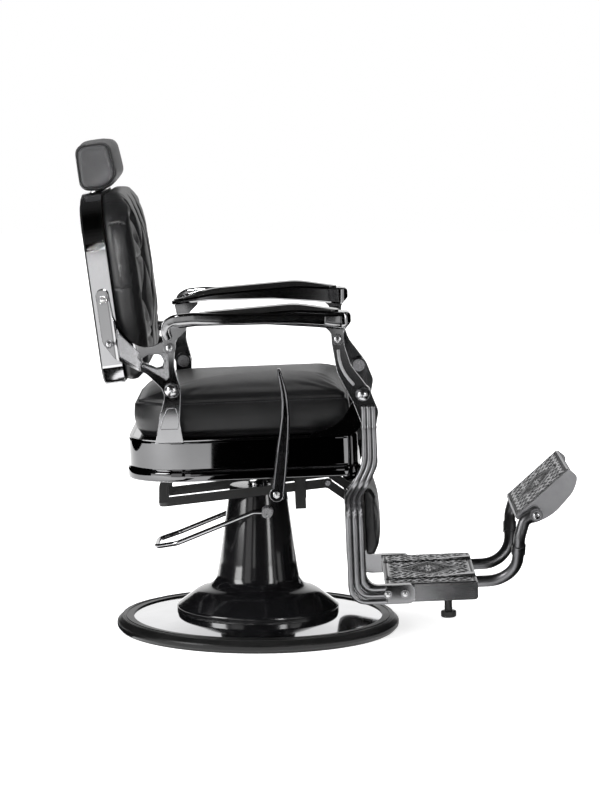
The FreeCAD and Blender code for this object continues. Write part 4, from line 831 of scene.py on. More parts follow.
class CHAIR_OT_finishes(bpy.types.Operator):
    """Give every solid that stays in view its own finish"""
    bl_idname = "chair.finishes"
    bl_label = "Finish the Solids"

    def chosen(self, metal):
        """Each finish with the solids that have it; a name with a star stands for a pair."""
        yield plated("black chrome", metal.black_chrome, 0.04, 0.02, True), (
            "seat_skirt rear_post_* front_lug_*")
        yield plated("bracket chrome", grey(0.31, 0.005), 0.04, 0.02, True), "back_bracket_*"
        yield plated("back band chrome", grey(0.5, 0.01), 0.06, 0.03, True), "back_rim"
        yield plated("armrest plating", grey(0.3, 0.005), 0.06, 0.03, True), "arm_frame_*"
        yield plated("leg plating", grey(0.2, 0.005), 0.09, 0.04, True), "leg_*"
        yield plated("bright chrome", metal.bright_chrome, 0.06, 0.04), "base_cover piston headrest_posts"
        yield plated("cap chrome", grey(0.5, 0.01), 0.24, 0.05), "pivot_caps"
        yield plated("pedal chrome", grey(0.45, 0.01), 0.09, 0.04), "pump_pedal"
        yield plated("lever plating", grey(0.12, 0.005), 0.12, 0.06), "recline_lever"
        yield cast_metal("toe gunmetal", shade(metal.gunmetal, 1.1), 0.36, 0.1), "toe_arm_*"
        yield cast_metal("toe plate gunmetal", shade(metal.gunmetal, 1.9), 0.34, 0.1), "toe_plate"
        yield cast_metal("plain pewter", shade(metal.pewter, 0.4), 0.22, 0.12), "footplate"
        yield turned_steel("hub steel", grey(0.5, 0.01)), "pedal_hubs"
        yield turned_steel("turned steel", grey(0.5, 0.02)), (
            "pump_cylinder pump_bolts pump_block pump_shafts mount_bolts pivot_pins headrest_sockets "
            "lever_shaft hoop_pins")
        yield turned_steel("bolt steel", grey(0.3, 0.01)), (
            "bracket_bolts leg_bolts arm_rear_pins arm_front_pins toe_bolts")
        yield turned_steel("bronze washer", (0.48, 0.33, 0.16)), "thrust_washer"
        yield satin("black steel", grey(0.006), 0.36), (
            "lock_hoop hoop_guides leg_crossbar lever_hangers seat_tray seat_mount")
        yield satin("floor plate paint", grey(0.03, 0.002), 0.5), "base_plate"
        yield satin("back shell paint", grey(0.009), 0.34), "back_shell"
        yield satin("knob plastic", grey(0.012), 0.4), "clamp_knob"
        yield gloss("column paint", metal.gloss_paint, 0.165, 0.6, 0.1), "column_cover column_cap"
        yield gloss("armrest gloss", grey(0.006), 0.125, 0.4), "arm_pad_*"
        yield rubber(), "base_ring"
        yield plywood(), "seat_board back_board calf_board"

    def execute(self, context):
        for material, names in self.chosen(metals()):
            for name in names.split():
                sides = [side for side, sign in SIDES] if name.endswith("*") else [""]
                for side in sides:
                    mesh = NODES[name.rstrip("*") + side].data
                    mesh.materials.clear()
                    mesh.materials.append(material)
        return {"FINISHED"}


class CHAIR_OT_seat(bpy.types.Operator):
    """Make the filled seat cushion with its stitched border seam"""
    bl_idname = "chair.seat"
    bl_label = "Seat Cushion"

    PLAN = {"rear": -268.0, "front": 209.0, "half": 252.0, "rear_corner": 128.0, "front_corner": 22.0}
    SEAM = 172.0
    FLOOR = 92.0
    HELD = 0.004
    SEWN = 0.85
    SEWN_WIDE = 0.006
    AIR = (2.0, 0.004)
    SEAM_STEP = 0.004
    BASE_STEP = 0.005
    # Depth and width of a pressed line
    SEAM_PRESS = (0.0036, 0.0034)
    BASE_PRESS = (0.002, 0.006)
    STITCH_DROP = 0.0048

    def execute(self, context):
        settings = upholstery()
        up = SEAT_UP.normalized()
        floor = in_seat(0, 0, self.FLOOR).dot(up)

        def hold(points):
            rise = points @ np.array(up) - floor
            seat = np.where(rise < self.HELD, 1.0, 0.0)
            sewn = np.exp(-((rise - (self.SEAM - self.FLOOR) * MM) / self.SEWN_WIDE) ** 2)
            return np.clip(np.maximum(seat, self.SEWN * sewn), 0, 1)

        pad = soft_pad("seat_cushion", "seat_cushion_leather", settings.voxel, 4, hold, self.AIR)
        plan = pan_loop(**self.PLAN)
        seam = laid_on(pad, even_points([in_seat(x, y, self.SEAM) for x, y in plan], self.SEAM_STEP))
        press_line(pad, seam, *self.SEAM_PRESS)
        base = even_points([in_seat(x, y, self.FLOOR) for x, y in plan], self.BASE_STEP)
        press_line(pad, laid_on(pad, base), *self.BASE_PRESS)
        upholster(pad, leather("seat leather", settings.leather), "seat", "seat_cushion", 0.8)
        stitches("seat_stitching", pad, seam, self.STITCH_DROP, "seat")
        return {"FINISHED"}


class CHAIR_OT_back(bpy.types.Operator):
    """Make the diamond-tufted back cushion with its side seams"""
    bl_idname = "chair.back"
    bl_label = "Back Cushion"

    ROWS = (110.0, 198.0, 286.0, 374.0)
    STEP = 106.0
    LOW = 18.0
    TOP = 434.0
    HALF = 245.0
    REAR = -103.0
    DEEP = 62.0
    FOLD_END = 186.0
    FOLD_WIDE = 7.0
    FOLD_POWER = 1.3
    FOLD_DROP = 4.0
    CORNER_OUT = 24.0
    CORNER_UP = 44.0
    TOP_FAN = 1.04
    LOW_FAN = 1.02
    TOP_MARGIN = 26.0
    LOW_MARGIN = 26.0
    BETWEEN_MARGIN = 30.0
    OUTER_MARGIN = 34.0
    TUFT_WIDE = 13.0
    REAR_HELD = 5.0
    TUFT_FROM = 30.0
    FOLD_FROM = 20.0
    SWELL = 6.0
    AIR = (3.0, 0.007)
    CROSS_SEAM = 226.0
    ARCH_SEAM = 372.0
    SEAM_PRESS = (0.0022, 0.0026)
    STITCH_DROP = 0.004
    BUTTON_AHEAD = 60.0
    BUTTON_LIFT = 0.001
    BUTTON = (
        (0.0105, -0.004), (0.0108, 0.0), (0.0098, 0.0022),
        (0.007, 0.0037), (0.0035, 0.0045), (0.0006, 0.0047),
    )

    def tufts(self):
        """Rows of tufts, of three and of four in turn."""
        spots = []
        for row, rise in enumerate(self.ROWS):
            count = 3 if row % 2 == 0 else 4
            spots.append([((i - (count - 1) / 2) * self.STEP, rise) for i in range(count)])
        return spots

    def folds(self):
        """Fold lines between neighbouring tufts, and from the outer ones to the border."""
        rows = self.tufts()
        lines = []
        for lower, upper in zip(rows[:-1], rows[1:]):
            lines += [(a, b) for a in lower for b in upper if abs(abs(a[0] - b[0]) - self.STEP / 2) < 1]
        for row in rows:
            for y, z in (row[0], row[-1]):
                lines.append(((y, z), (math.copysign(self.FOLD_END, y), z - self.FOLD_DROP)))
                if len(row) == 3:
                    corner = math.copysign(self.STEP * 1.5 + self.CORNER_OUT, y)
                    lines.append(((y, z), (corner, z + self.CORNER_UP)))
        for y, z in rows[-1]:
            lines.append(((y, z), (y * self.TOP_FAN, self.TOP - self.TOP_MARGIN)))
        for y, z in rows[0]:
            lines.append(((y, z), (y * self.LOW_FAN, self.LOW + self.LOW_MARGIN)))
            lines.append(((y, z), (y + self.STEP / 2, self.LOW + self.BETWEEN_MARGIN)))
        lines.append((rows[0][0], (-self.STEP * 1.5, self.LOW + self.OUTER_MARGIN)))
        return lines

    def local(self, points):
        """Points in the back's leaning frame."""
        forward = np.array(BACK_FORWARD) / MM
        up = np.array(BACK_UP) / MM
        offset = points - np.array(BACK_PIN)
        return offset @ forward / MM, offset[:, 1] / MM, offset @ up / MM

    def hold(self, points):
        """The rear is kept, and so is each tuft."""
        x, y, z = self.local(points)
        kept = np.where(x < self.REAR + self.REAR_HELD, 1.0, 0.0)
        for row in self.tufts():
            for tuft_y, tuft_z in row:
                drawn = np.exp(-(np.hypot(y - tuft_y, z - tuft_z) / self.TUFT_WIDE) ** 2)
                kept = np.maximum(kept, np.where(x > self.REAR + self.TUFT_FROM, drawn, 0))
        return kept

    def carve(self, pad, depth):
        """Swell the sides and press the folds into the front."""
        points = read_points(pad.data)
        normals = read_points(pad.data, "normal")
        forward = np.array(BACK_FORWARD) / MM
        x, y, z = self.local(points)
        across = np.clip((x - self.REAR) / self.DEEP, 0, 1)
        sideways = np.clip((np.abs(normals[:, 1]) - 0.35) / 0.4, 0, 1)
        points[:, 1] += np.sign(y) * sideways * np.sin(np.pi * across) * self.SWELL * MM
        sink = np.zeros(len(points))
        for (ay, az), (by, bz) in self.folds():
            span = np.array([by - ay, bz - az])
            share = np.clip(((y - ay) * span[0] + (z - az) * span[1]) / (span @ span), 0, 1)
            gap = np.hypot(y - ay - share * span[0], z - az - share * span[1])
            sink = np.maximum(sink, np.exp(-(gap / self.FOLD_WIDE) ** self.FOLD_POWER))
        facing = np.clip((normals @ forward - 0.15) / 0.5, 0, 1)
        front = facing * np.clip((x - self.REAR - self.FOLD_FROM) / self.FOLD_FROM, 0, 1)
        points -= np.outer(sink * front * depth, forward)
        set_points(pad, points)

    def execute(self, context):
        settings = upholstery()
        pad = soft_pad("back_cushion", "back_cushion_leather", settings.voxel, 3, self.hold, self.AIR)
        self.carve(pad, settings.fold_depth)
        soften(pad, 1, 0.35)
        skin = leather("back leather", settings.leather)
        upholster(pad, skin, "back", "back_cushion", 0.75)
        self.side_seams(pad)
        self.buttons(pad, skin)
        return {"FINISHED"}

    def side_seams(self, pad):
        """A straight and an arched cross seam on each side border."""
        rows = []
        for side in (-1, 1):
            edge = side * (self.HALF + 6)
            cross = [in_back(-98 + 6.0 * k, edge, self.CROSS_SEAM + 0.35 * k) for k in range(10)]
            arch = [in_back(-96 + 5.6 * k, edge * (1 - 0.035 * k / 9),
                            self.ARCH_SEAM + 6 * math.sin(k * 0.35) - 0.6 * k) for k in range(10)]
            for path in (cross, arch):
                path = laid_on(pad, path)
                press_line(pad, path, *self.SEAM_PRESS)
                rows.append(path)
        for number, path in enumerate(rows):
            stitches("back_stitching_%d" % number, pad, path, self.STITCH_DROP, "back")

    def buttons(self, pad, skin):
        """Small covered buttons drawn into the tufts."""
        tree = tree_of(pad)
        forward = BACK_FORWARD.normalized()
        parts = []
        for row in self.tufts():
            for y, z in row:
                spot = struck(tree, in_back(self.BUTTON_AHEAD, y, z), -forward)
                parts.append(lathed(self.BUTTON, spot + forward * self.BUTTON_LIFT, forward))
        dress(joined("back_buttons", parts), skin, "back", LEATHER_SLOT)


class CHAIR_OT_headrest(bpy.types.Operator):
    """Make the headrest block with its piped end panels"""
    bl_idname = "chair.headrest"
    bl_label = "Headrest"

    SEWN = 0.75
    SEWN_AT = 0.010
    SEWN_WIDE = 0.004
    AIR = (2.6, 0.006)
    PIPE_INSET = 0.009
    PIPE_RADIUS = 0.0017
    PIPE_PRESS = (0.0012, 0.0035)
    RAYS = 96
    RAY_REACH = 0.2

    def execute(self, context):
        settings = upholstery()
        lo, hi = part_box("headrest_pad")

        def hold(points):
            ends = np.minimum(np.abs(points[:, 1] - lo.y), np.abs(points[:, 1] - hi.y))
            return np.clip(self.SEWN * np.exp(-((ends - self.SEWN_AT) / self.SEWN_WIDE) ** 2), 0, 1)

        pad = soft_pad("headrest_pad", "headrest_leather", settings.voxel * 0.8, 4, hold, self.AIR)
        skin = leather("headrest leather", settings.headrest, 0.5)
        upholster(pad, skin, "headrest", "headrest_pad", 0.85)
        dark = leather("headrest piping", shade(settings.headrest, 0.5), 0.45)
        tree = tree_of(pad)
        for label, end, sign in (("right", lo.y, -1), ("left", hi.y, 1)):
            loop = self.slice_loop(tree, end - sign * self.PIPE_INSET, (lo + hi) / 2)
            piping("headrest_piping_" + label, pad, loop, self.PIPE_RADIUS, dark, "headrest")
            press_line(pad, loop + loop[:1], *self.PIPE_PRESS)
        return {"FINISHED"}

    def slice_loop(self, tree, y, middle):
        """Where a plane across the pad meets its skin."""
        centre = Vector((middle.x, y, middle.z))
        rays = [Vector((c, 0, s)) for c, s in circle(self.RAYS)]
        spots = [struck(tree, centre + ray * self.RAY_REACH, -ray) for ray in rays]
        return [spot for spot in spots if spot is not None]


class CHAIR_OT_leg_pads(bpy.types.Operator):
    """Make the calf pad and the toe pad"""
    bl_idname = "chair.leg_pads"
    bl_label = "Calf and Toe Pads"

    CALF_REAR = (236.0, 0.0, -120.0)
    CALF_HELD = 0.006
    CALF_AIR = (3.0, 0.006)
    TOE_HELD = 0.4
    TOE_AIR = (2.0, 0.002)

    def execute(self, context):
        settings = upholstery()
        skin = leather("pad leather", settings.leather, 0.4)
        rear = in_seat(*self.CALF_REAR).x

        def hold_calf(points):
            return np.where(points[:, 0] < rear + self.CALF_HELD, 1.0, 0.0)

        def hold_toe(points):
            return np.full(len(points), self.TOE_HELD)

        for node, body, hold, air, fill in (
            ("calf_pad", "leg_rest", hold_calf, self.CALF_AIR, 0.75),
            ("toe_pad", "toe_rest", hold_toe, self.TOE_AIR, 0.7),
        ):
            pad = soft_pad(node, node + "_leather", settings.voxel * 0.8, 3, hold, air)
            upholster(pad, skin, body, node, fill)
        return {"FINISHED"}


class CHAIR_OT_back_trim(bpy.types.Operator):
    """Lay a raised border with four screws on the rear of the back shell"""
    bl_idname = "chair.back_trim"
    bl_label = "Back Trim"

    HALF = 205.0
    TALL = 186.0
    MIDDLE = 226.0
    CORNER = 62.0
    BEHIND = -300.0
    STEP = 0.006
    BEAD = 0.0026
    SCREW_INSET = 26.0
    SCREW = ((0.0072, -0.0006), (0.0072, 0.0008), (0.006, 0.0023), (0.0034, 0.0032), (0.0004, 0.0035))

    def execute(self, context):
        tree = tree_of(NODES["back_shell"])
        forward = BACK_FORWARD.normalized()

        def behind(y, z):
            spot = struck(tree, in_back(self.BEHIND, y, self.MIDDLE + z), forward)
            if spot is None:
                raise RuntimeError("the border misses the back shell")
            return spot

        plan = pan_loop(-self.HALF, self.HALF, self.TALL, self.CORNER, self.CORNER, 10)
        loop = even_points([behind(y, z) for y, z in plan], self.STEP)
        border = tube_data(loop[:-1], self.BEAD, 10, True)
        paint = satin("back border paint", grey(0.006), 0.25)
        dress(joined("back_shell_border", [border]), paint, "back", "back_panel")
        across = self.HALF - self.SCREW_INSET
        along = self.TALL - self.SCREW_INSET
        spots = [behind(sy * across, sz * along) for sy in (-1, 1) for sz in (-1, 1)]
        heads = [lathed(self.SCREW, spot, -forward) for spot in spots]
        dress(joined("back_shell_screws", heads), bright_bolt_steel(), "back", "bright_bolts")
        return {"FINISHED"}


class CHAIR_OT_skirt(bpy.types.Operator):
    """Wrap the seat's skirt in a polished band with a rounded lip and foot"""
    bl_idname = "chair.skirt"
    bl_label = "Skirt Band"

    REAR = 281.0
    FRONT = 222.0
    HALF = 265.0
    REAR_CORNER = 140.0
    FRONT_CORNER = 30.0
    SECTION = (
        (-9.0, 88.5), (-4.5, 88.5), (-2.2, 88.1), (-0.6, 87.0), (0.4, 85.2), (0.7, 83.0), (0.7, 80.0),
        (0.7, 34.0), (0.7, 26.0), (0.7, 22.6), (1.2, 20.8), (2.6, 19.8), (4.2, 19.2), (5.4, 17.8),
        (5.8, 15.6), (5.8, 4.0), (5.6, 1.0), (4.8, -1.2), (3.4, -2.4), (1.4, -2.7), (-2.0, -2.7),
    )
    STEP = 18.0

    def ring(self, grow, height):
        """One turn around the skirt, with extra points along its straight sides."""
        plan = pan_loop(-self.REAR - grow, self.FRONT + grow, self.HALF + grow,
                        self.REAR_CORNER + grow, self.FRONT_CORNER + grow, 20)
        points = []
        for (x0, y0), (x1, y1) in zip(plan[:-1], plan[1:]):
            straight = abs(x1 - x0) < 1e-6 or abs(y1 - y0) < 1e-6
            parts = max(1, int(math.hypot(x1 - x0, y1 - y0) // self.STEP)) if straight else 1
            points += [in_seat(x0 + (x1 - x0) * k / parts, y0 + (y1 - y0) * k / parts, height)
                       for k in range(parts)]
        return points

    def execute(self, context):
        rings = [self.ring(grow, height) for grow, height in self.SECTION]
        count = len(rings[0])
        if any(len(ring) != count for ring in rings):
            raise RuntimeError("the skirt's rings do not match")
        points = [point for ring in rings for point in ring]
        band = joined("skirt_band", [(points, ring_faces(len(rings), count))])
        plating = plated("skirt plating", shade(metals().black_chrome, 0.5), 0.02, 0.008)
        dress(band, plating, "seat", "black_chrome")
        return {"FINISHED"}


class CHAIR_OT_arm_rails(bpy.types.Operator):
    """Run a rounded rail along the outer side of each armrest, from its curl to its nose"""
    bl_idname = "chair.arm_rails"
    bl_label = "Armrest Rails"

    SIDE = 341.0
    LINE = (
        (-172, 317, 6), (-180, 335, 9), (-177, 350, 10.5), (-160, 359, 11.5), (-119, 361, 12), (-58, 357, 12),
        (24, 355.5, 11), (106, 352, 11), (163, 347.5, 12), (188, 345.5, 16), (199, 345, 17.5), (206, 345, 16),
        (211, 345, 12), (213.5, 345, 6),
    )
    ROUND = 0.008
    STEP = 0.0025
    FACETS = 48
    DEPTH = 0.5
    SQUARE = 0.35

    def execute(self, context):
        knots = [in_seat(x, -self.SIDE, z) for x, z, tall in self.LINE]
        path = even_points(smooth_path(knots, [self.ROUND] * (len(knots) - 2)), self.STEP)
        along = [0.0]
        for a, b in zip(knots[:-1], knots[1:]):
            along.append(along[-1] + (b - a).length)
        run = np.linspace(0.0, along[-1], len(path))
        tall = np.interp(run, along, [height for x, z, height in self.LINE]) * MM
        rail = tube_data(path, list(tall), self.FACETS, False, self.DEPTH, NEAR_SIDE, self.SQUARE)
        finish = plated("arm rail plating", grey(0.3, 0.005), 0.07, 0.03)
        for side, data in (("right", rail), ("left", mirrored_data(*rail))):
            dress(joined("arm_rail_" + side, [data]), finish, "arm_" + side, "dark_cast")
        return {"FINISHED"}


class CHAIR_OT_legs(bpy.types.Operator):
    """Lay three rounded ridges and a satin strip on each leg"""
    bl_idname = "chair.legs"
    bl_label = "Leg Ridges"

    COUNT = 3
    OUTER = 305.0
    INNER = 206.0
    # Rear edge, width, side and height of the leg at each bend above the straight shank
    BENDS = ((233, 31, OUTER, 153), (230, 34, OUTER, 25), (206, 38, OUTER, -16), (189, 39, 258, -48))
    SHANK_TOP = -85.0
    REAR = 190.0
    WIDTH = 41.0
    LOW = -300.0
    FOOT = 42.0
    HEEL = 60.0
    FOOT_END = 276.0
    BEND_ROUNDS = (30, 16, 14, 24)
    STEP = 2.5
    RADIUS = 5.4
    THICKER_FROM = 10.0
    THICKER_OVER = 60.0
    COLLARS = (150.0, 107.0, -64.0, -92.0)
    COLLAR_RISE = 1.1
    COLLAR_TALL = 2.4
    STRIP = ((188.5, 277.0), (189.0, 259.0), (194.8, 235.5), (207.0, 215.0), (219.6, 200.0))
    STRIP_PROUD = 1.2
    STRIP_ROUND = 0.012
    STRIP_STEP = 0.003
    STRIP_RADIUS = 0.0034
    STRIP_FLAT = 0.22

    def ridge(self, share):
        """One ridge from under the front pin, through the jog, to the foot."""
        lane = self.REAR + self.WIDTH * share
        sole = self.LOW + self.FOOT * share
        corners = [(rear + wide * share, -side, height) for rear, wide, side, height in self.BENDS]
        corners += [(lane, -self.INNER, self.SHANK_TOP), (lane, -self.INNER, sole),
                    (self.FOOT_END, -self.INNER, sole)]
        rounds = self.BEND_ROUNDS + (self.HEEL - self.WIDTH * share,)
        path = even_points(smooth_path(corners, rounds), self.STEP)
        radii = []
        for point in path:
            low = min(1.0, max(0.0, (self.THICKER_FROM - point.z) / self.THICKER_OVER))
            knuckle = sum(math.exp(-((point.z - height) / self.COLLAR_TALL) ** 2) for height in self.COLLARS)
            radii.append((self.RADIUS + low + self.COLLAR_RISE * knuckle) * MM)
        return tube_data([in_seat(*point) for point in path], radii, 12)

    def strip(self):
        """The satin strip beside the front pin."""
        path = [in_seat(x, -self.OUTER - self.STRIP_PROUD, z) for x, z in self.STRIP]
        path = even_points(smooth_path(path, [self.STRIP_ROUND] * 3), self.STRIP_STEP)
        return tube_data(path, self.STRIP_RADIUS, 10, False, self.STRIP_FLAT, NEAR_SIDE)

    def execute(self, context):
        ridges = [self.ridge((i + 0.5) / self.COUNT) for i in range(self.COUNT)]
        strips = [self.strip()]
        casting = cast_metal("ridge gunmetal", shade(metals().gunmetal, 1.5), 0.3, 0.08)
        satin_strip = stippled("strip satin", grey(0.42, 0.01))
        for side, sign in SIDES:
            for name, parts, material in (
                ("leg_ridges_", ridges, casting), ("leg_strip_", strips, satin_strip),
            ):
                if side == "left":
                    parts = [mirrored_data(*part) for part in parts]
                dress(joined(name + side, parts), material, "leg_rest", "gunmetal")
        return {"FINISHED"}


class CHAIR_OT_castings(bpy.types.Operator):
    """Round the edges of the plated castings and fill their panels with stipple"""
    bl_idname = "chair.castings"
    bl_label = "Casting Edges and Panels"

    REAR_PANEL = [(-102, 142), (-98, 132), (-58, 88), (-64, 79), (-56, 64), (-65, 55), (-105, 81)]
    FRONT_PANEL = [
        (3, 80), (-2, 28), (-9, 21), (-56, 59), (-50, 61), (-24, 47), (-10, 49), (-5, 64), (-11, 80),
    ]
    POST_PANEL = [(-203, 118), (-195, 142), (-185, 163), (-168, 164), (-162, 144), (-162, 130), (-165, 117)]
    GRAIN = 2.0
    OUTWARD = 0.24
    BEAD = 0.0008
    BORDER = 0.0010
    BORDER_STEP = 0.0025
    BORDER_LIFT = 0.0002
    PANEL_LIFT = 0.0003
    HOLE = 0.035
    SHORT = 0.005

    def execute(self, context):
        edge = plated("bright edge plating", grey(0.34, 0.01), 0.12, 0.05)
        border = plated("panel border plating", grey(0.3, 0.01), 0.12, 0.05)
        panel = stippled("stippled panel", grey(0.36, 0.01))
        for side, sign in SIDES:
            for node, body, slot in (
                ("leg_", "leg_rest", "gunmetal"), ("back_bracket_", "back", "black_chrome"),
                ("arm_frame_", "arm_" + side, "dark_cast"), ("rear_post_", "seat", "black_chrome"),
            ):
                self.beads(node + side, Vector((0, sign, 0)), edge, body, slot)
            bracket = tree_of(NODES["back_bracket_" + side])
            for name, outline in (("rear", self.REAR_PANEL), ("front", self.FRONT_PANEL)):
                label = "bracket_%s_panel_%s" % (name, side)
                self.fill(label, bracket, outline, in_back, sign, panel, "back")
                self.frame(label + "_border", bracket, outline, in_back, sign, border, "back")
            post = tree_of(NODES["rear_post_" + side])
            self.frame("post_panel_" + side, post, self.POST_PANEL, in_seat, sign, border, "seat")
        self.beads("recline_lever", NEAR_SIDE, edge, "lever", "gunmetal")
        return {"FINISHED"}

    def beads(self, node, facing, material, body, slot):
        """A fine bead along the outer edges of a casting, apart from its bolt holes."""
        parts = []
        for path in sharp_paths(node, facing):
            reach = max(max(p[k] for p in path) - min(p[k] for p in path) for k in range(3))
            closed = (path[0] - path[-1]).length < 1e-6
            if reach > (self.HOLE if closed else self.SHORT):
                parts.append(tube_data(path, self.BEAD, 6))
        if not parts:
            raise RuntimeError("no outer edge on " + node)
        dress(joined(node + "_edges", parts), material, body, slot)

    def fill(self, name, tree, outline, place, sign, material, body):
        """A skin over the panel that follows the casting's face."""
        low_x, low_z = (min(corner[k] for corner in outline) for k in (0, 1))
        high_x, high_z = (max(corner[k] for corner in outline) for k in (0, 1))
        columns = int((high_x - low_x) / self.GRAIN) + 2
        rows = int((high_z - low_z) / self.GRAIN) + 2
        index = {}
        points = []
        for i in range(columns):
            for j in range(rows):
                x = low_x + i * self.GRAIN
                z = low_z + j * self.GRAIN
                spot = on_face(tree, place(x, 0, z), sign) if inside(outline, x, z) else None
                if spot is not None and abs(spot.y) > self.OUTWARD:
                    index[i, j] = len(points)
                    points.append(spot + Vector((0, sign * self.PANEL_LIFT, 0)))
        faces = []
        for i, j in index:
            ring = [(i, j), (i + 1, j), (i + 1, j + 1), (i, j + 1)]
            if all(key in index for key in ring):
                faces.append(tuple(index[key] for key in ring))
        dress(joined(name, [(points, faces)]), material, body, "black_chrome")

    def frame(self, name, tree, outline, place, sign, material, body):
        """A raised bead around a panel."""
        loop = [place(x, 0, z) for x, z in outline + outline[:1]]
        runs = [[]]
        for point in even_points(loop, self.BORDER_STEP):
            spot = on_face(tree, point, sign)
            if spot is not None and abs(spot.y) > self.OUTWARD:
                runs[-1].append(spot + Vector((0, sign * self.BORDER_LIFT, 0)))
            elif runs[-1]:
                runs.append([])
        parts = [tube_data(run, self.BORDER, 8) for run in runs if len(run) > 2]
        dress(joined(name, parts), material, body, "black_chrome")


class CHAIR_OT_ornament(bpy.types.Operator):
    """Cast the scroll ornament on the footplate and the toe plate"""
    bl_idname = "chair.ornament"
    bl_label = "Plate Ornament"

    FOOT_REAR = 274.0
    FOOT_FRONT = 475.0
    FOOT_TOP = -262.0
    FOOT_HALF = 184.0
    FOOT_LIFT = 2.3
    TUBE_HALF = 110.0
    RAMP_LONG = 100.0
    RAMP_RISE = 6.0
    RAMP_WIDE = 17.0
    RAMP_TIP = 3.0
    RAMP_RELIEF = 0.85
    ROOF = 2.2
    TOE_LOW = (566.0, -126.0)
    TOE_HIGH = (688.0, -23.0)
    TOE_HALF = 153.0
    TOE_MARGIN = 2.0
    TOE_LIFT = 0.5
    EDGE_LIFT = -0.5
    PITCH = 1.2

    def scrolls(self, u, v):
        """Leafy scrolls, the same on both sides of the middle."""
        a = np.abs(u)
        wave = np.sin(a / 3.3 + 1.5 * np.sin(v / 7.6)) * np.sin(v / 3.0 + 1.5 * np.sin(a / 6.7))
        curl = np.sin(np.hypot(a % 46 - 23, v % 40 - 20) / 2.1)
        return np.clip(1.08 + 2.8 * np.minimum(wave, 0.75 + 0.6 * curl), 0, 1)

    def line(self, value, at, width):
        """A groove where a value passes a level."""
        return np.exp(-((value - at) / width) ** 2)

    def rosette(self, u, v, wide, tall):
        """A leaf rosette inside a stepped diamond; second value is 1 inside it."""
        diamond = np.abs(u) / wide + np.abs(v) / tall
        radius = np.hypot(u / wide, v / tall)
        angle = np.arctan2(v / tall, u / wide)
        rim = 0.24 + 0.22 * np.cos(4 * angle) ** 2
        carved = self.line(radius, rim, 0.03) + self.line(radius, 0.11, 0.025)
        veins = np.exp(-(np.sin(4 * angle) * radius * 16) ** 2)
        carved += veins * (radius < rim - 0.03) * (radius > 0.14)
        carved += self.line(diamond, 0.97, 0.03) + self.line(diamond, 0.8, 0.025)
        lattice = np.maximum(np.sin((u + v) / 2.3), np.sin((u - v) / 2.3))
        carved += np.clip(2.2 - 2.6 * lattice, 0, 1) * (radius > rim + 0.05) * (diamond < 0.74)
        return 1 - np.clip(carved, 0, 1), diamond < 1.0

    def design(self, u, v, half_u, half_v):
        """Relief from 0 to 1 over a plate, with a beaded margin."""
        inner, within = self.rosette(u, v, half_u * 0.52, half_v * 0.78)
        relief = np.where(within, inner, self.scrolls(u, v))
        margin = np.minimum(half_u - np.abs(u), half_v - np.abs(v))
        along = np.where(half_u - np.abs(u) < half_v - np.abs(v), v, u)
        beads = 0.55 + 0.45 * np.cos(along / 1.35)
        relief = np.where(margin < 10, 0.1, relief)
        relief = np.where((margin > 3.5) & (margin < 8), beads, relief)
        return np.where(margin < 3, 1.0, relief)

    def foot_base(self, x, y):
        """Height of the plain casting above the plate, and 1 where a tube's ramp lies."""
        off = np.abs(np.abs(y) - self.TUBE_HALF)
        roof = np.where(off < self.RAMP_WIDE + 1, self.ROOF, 0.0)
        run = np.clip((x - (self.FOOT_FRONT + 2 - self.RAMP_LONG)) / self.RAMP_LONG, 0, 1)
        half = self.RAMP_TIP + (self.RAMP_WIDE - self.RAMP_TIP) * run
        slope = np.clip((half - off) / (0.3 * half), 0, 1)
        ramp = (0.5 + (self.RAMP_RISE - 0.5) * run) * slope * (run > 0)
        return np.maximum(roof, ramp), (slope > 0) & (run > 0)

    def sheet(self, name, grid, place, relief, lift, material, body):
        """A relief sheet whose edges turn down into its plate."""
        columns = relief.shape[1]
        lift[[0, -1], :] = self.EDGE_LIFT
        lift[:, [0, -1]] = self.EDGE_LIFT
        points = [place(u, v, high) for u, v, high in zip(grid[0].ravel(), grid[1].ravel(), lift.ravel())]
        faces = []
        for i in range(relief.shape[0] - 1):
            for j in range(columns - 1):
                first = i * columns + j
                faces.append((first, first + 1, first + columns + 1, first + columns))
        piece = mesh_piece(name, points, faces)
        height = piece.data.attributes.new("relief", "FLOAT", "POINT")
        height.data.foreach_set("value", relief.ravel())
        clean_normals(piece)
        dress(piece, material, body, "pewter")

    def grid(self, half, low, high, long):
        """Points across and along a plate, at an even pitch."""
        across = np.linspace(-half, half, int(2 * half / self.PITCH))
        along = np.linspace(low, high, int(long / self.PITCH))
        return np.meshgrid(across, along, indexing="ij")

    def execute(self, context):
        metal = metals()
        material = ornament_metal("ornament pewter", metal.pewter)
        tall = metal.relief / MM
        self.footplate(material, tall)
        self.toe_plate(material, tall)
        return {"FINISHED"}

    def footplate(self, material, tall):
        long = self.FOOT_FRONT - self.FOOT_REAR
        y, x = self.grid(self.FOOT_HALF, self.FOOT_REAR, self.FOOT_FRONT, long)
        relief = self.design(y, x - (self.FOOT_REAR + self.FOOT_FRONT) / 2, self.FOOT_HALF, long / 2)
        base, ramp = self.foot_base(x, y)
        relief = np.where(ramp, self.RAMP_RELIEF, relief)
        lift = base + self.FOOT_LIFT + tall * (relief - self.RAMP_RELIEF) * np.where(ramp, 0, 1)

        def place(u, v, high):
            return in_seat(v, u, self.FOOT_TOP + high)

        self.sheet("footplate_ornament", (y, x), place, relief, lift, material, "leg_rest")

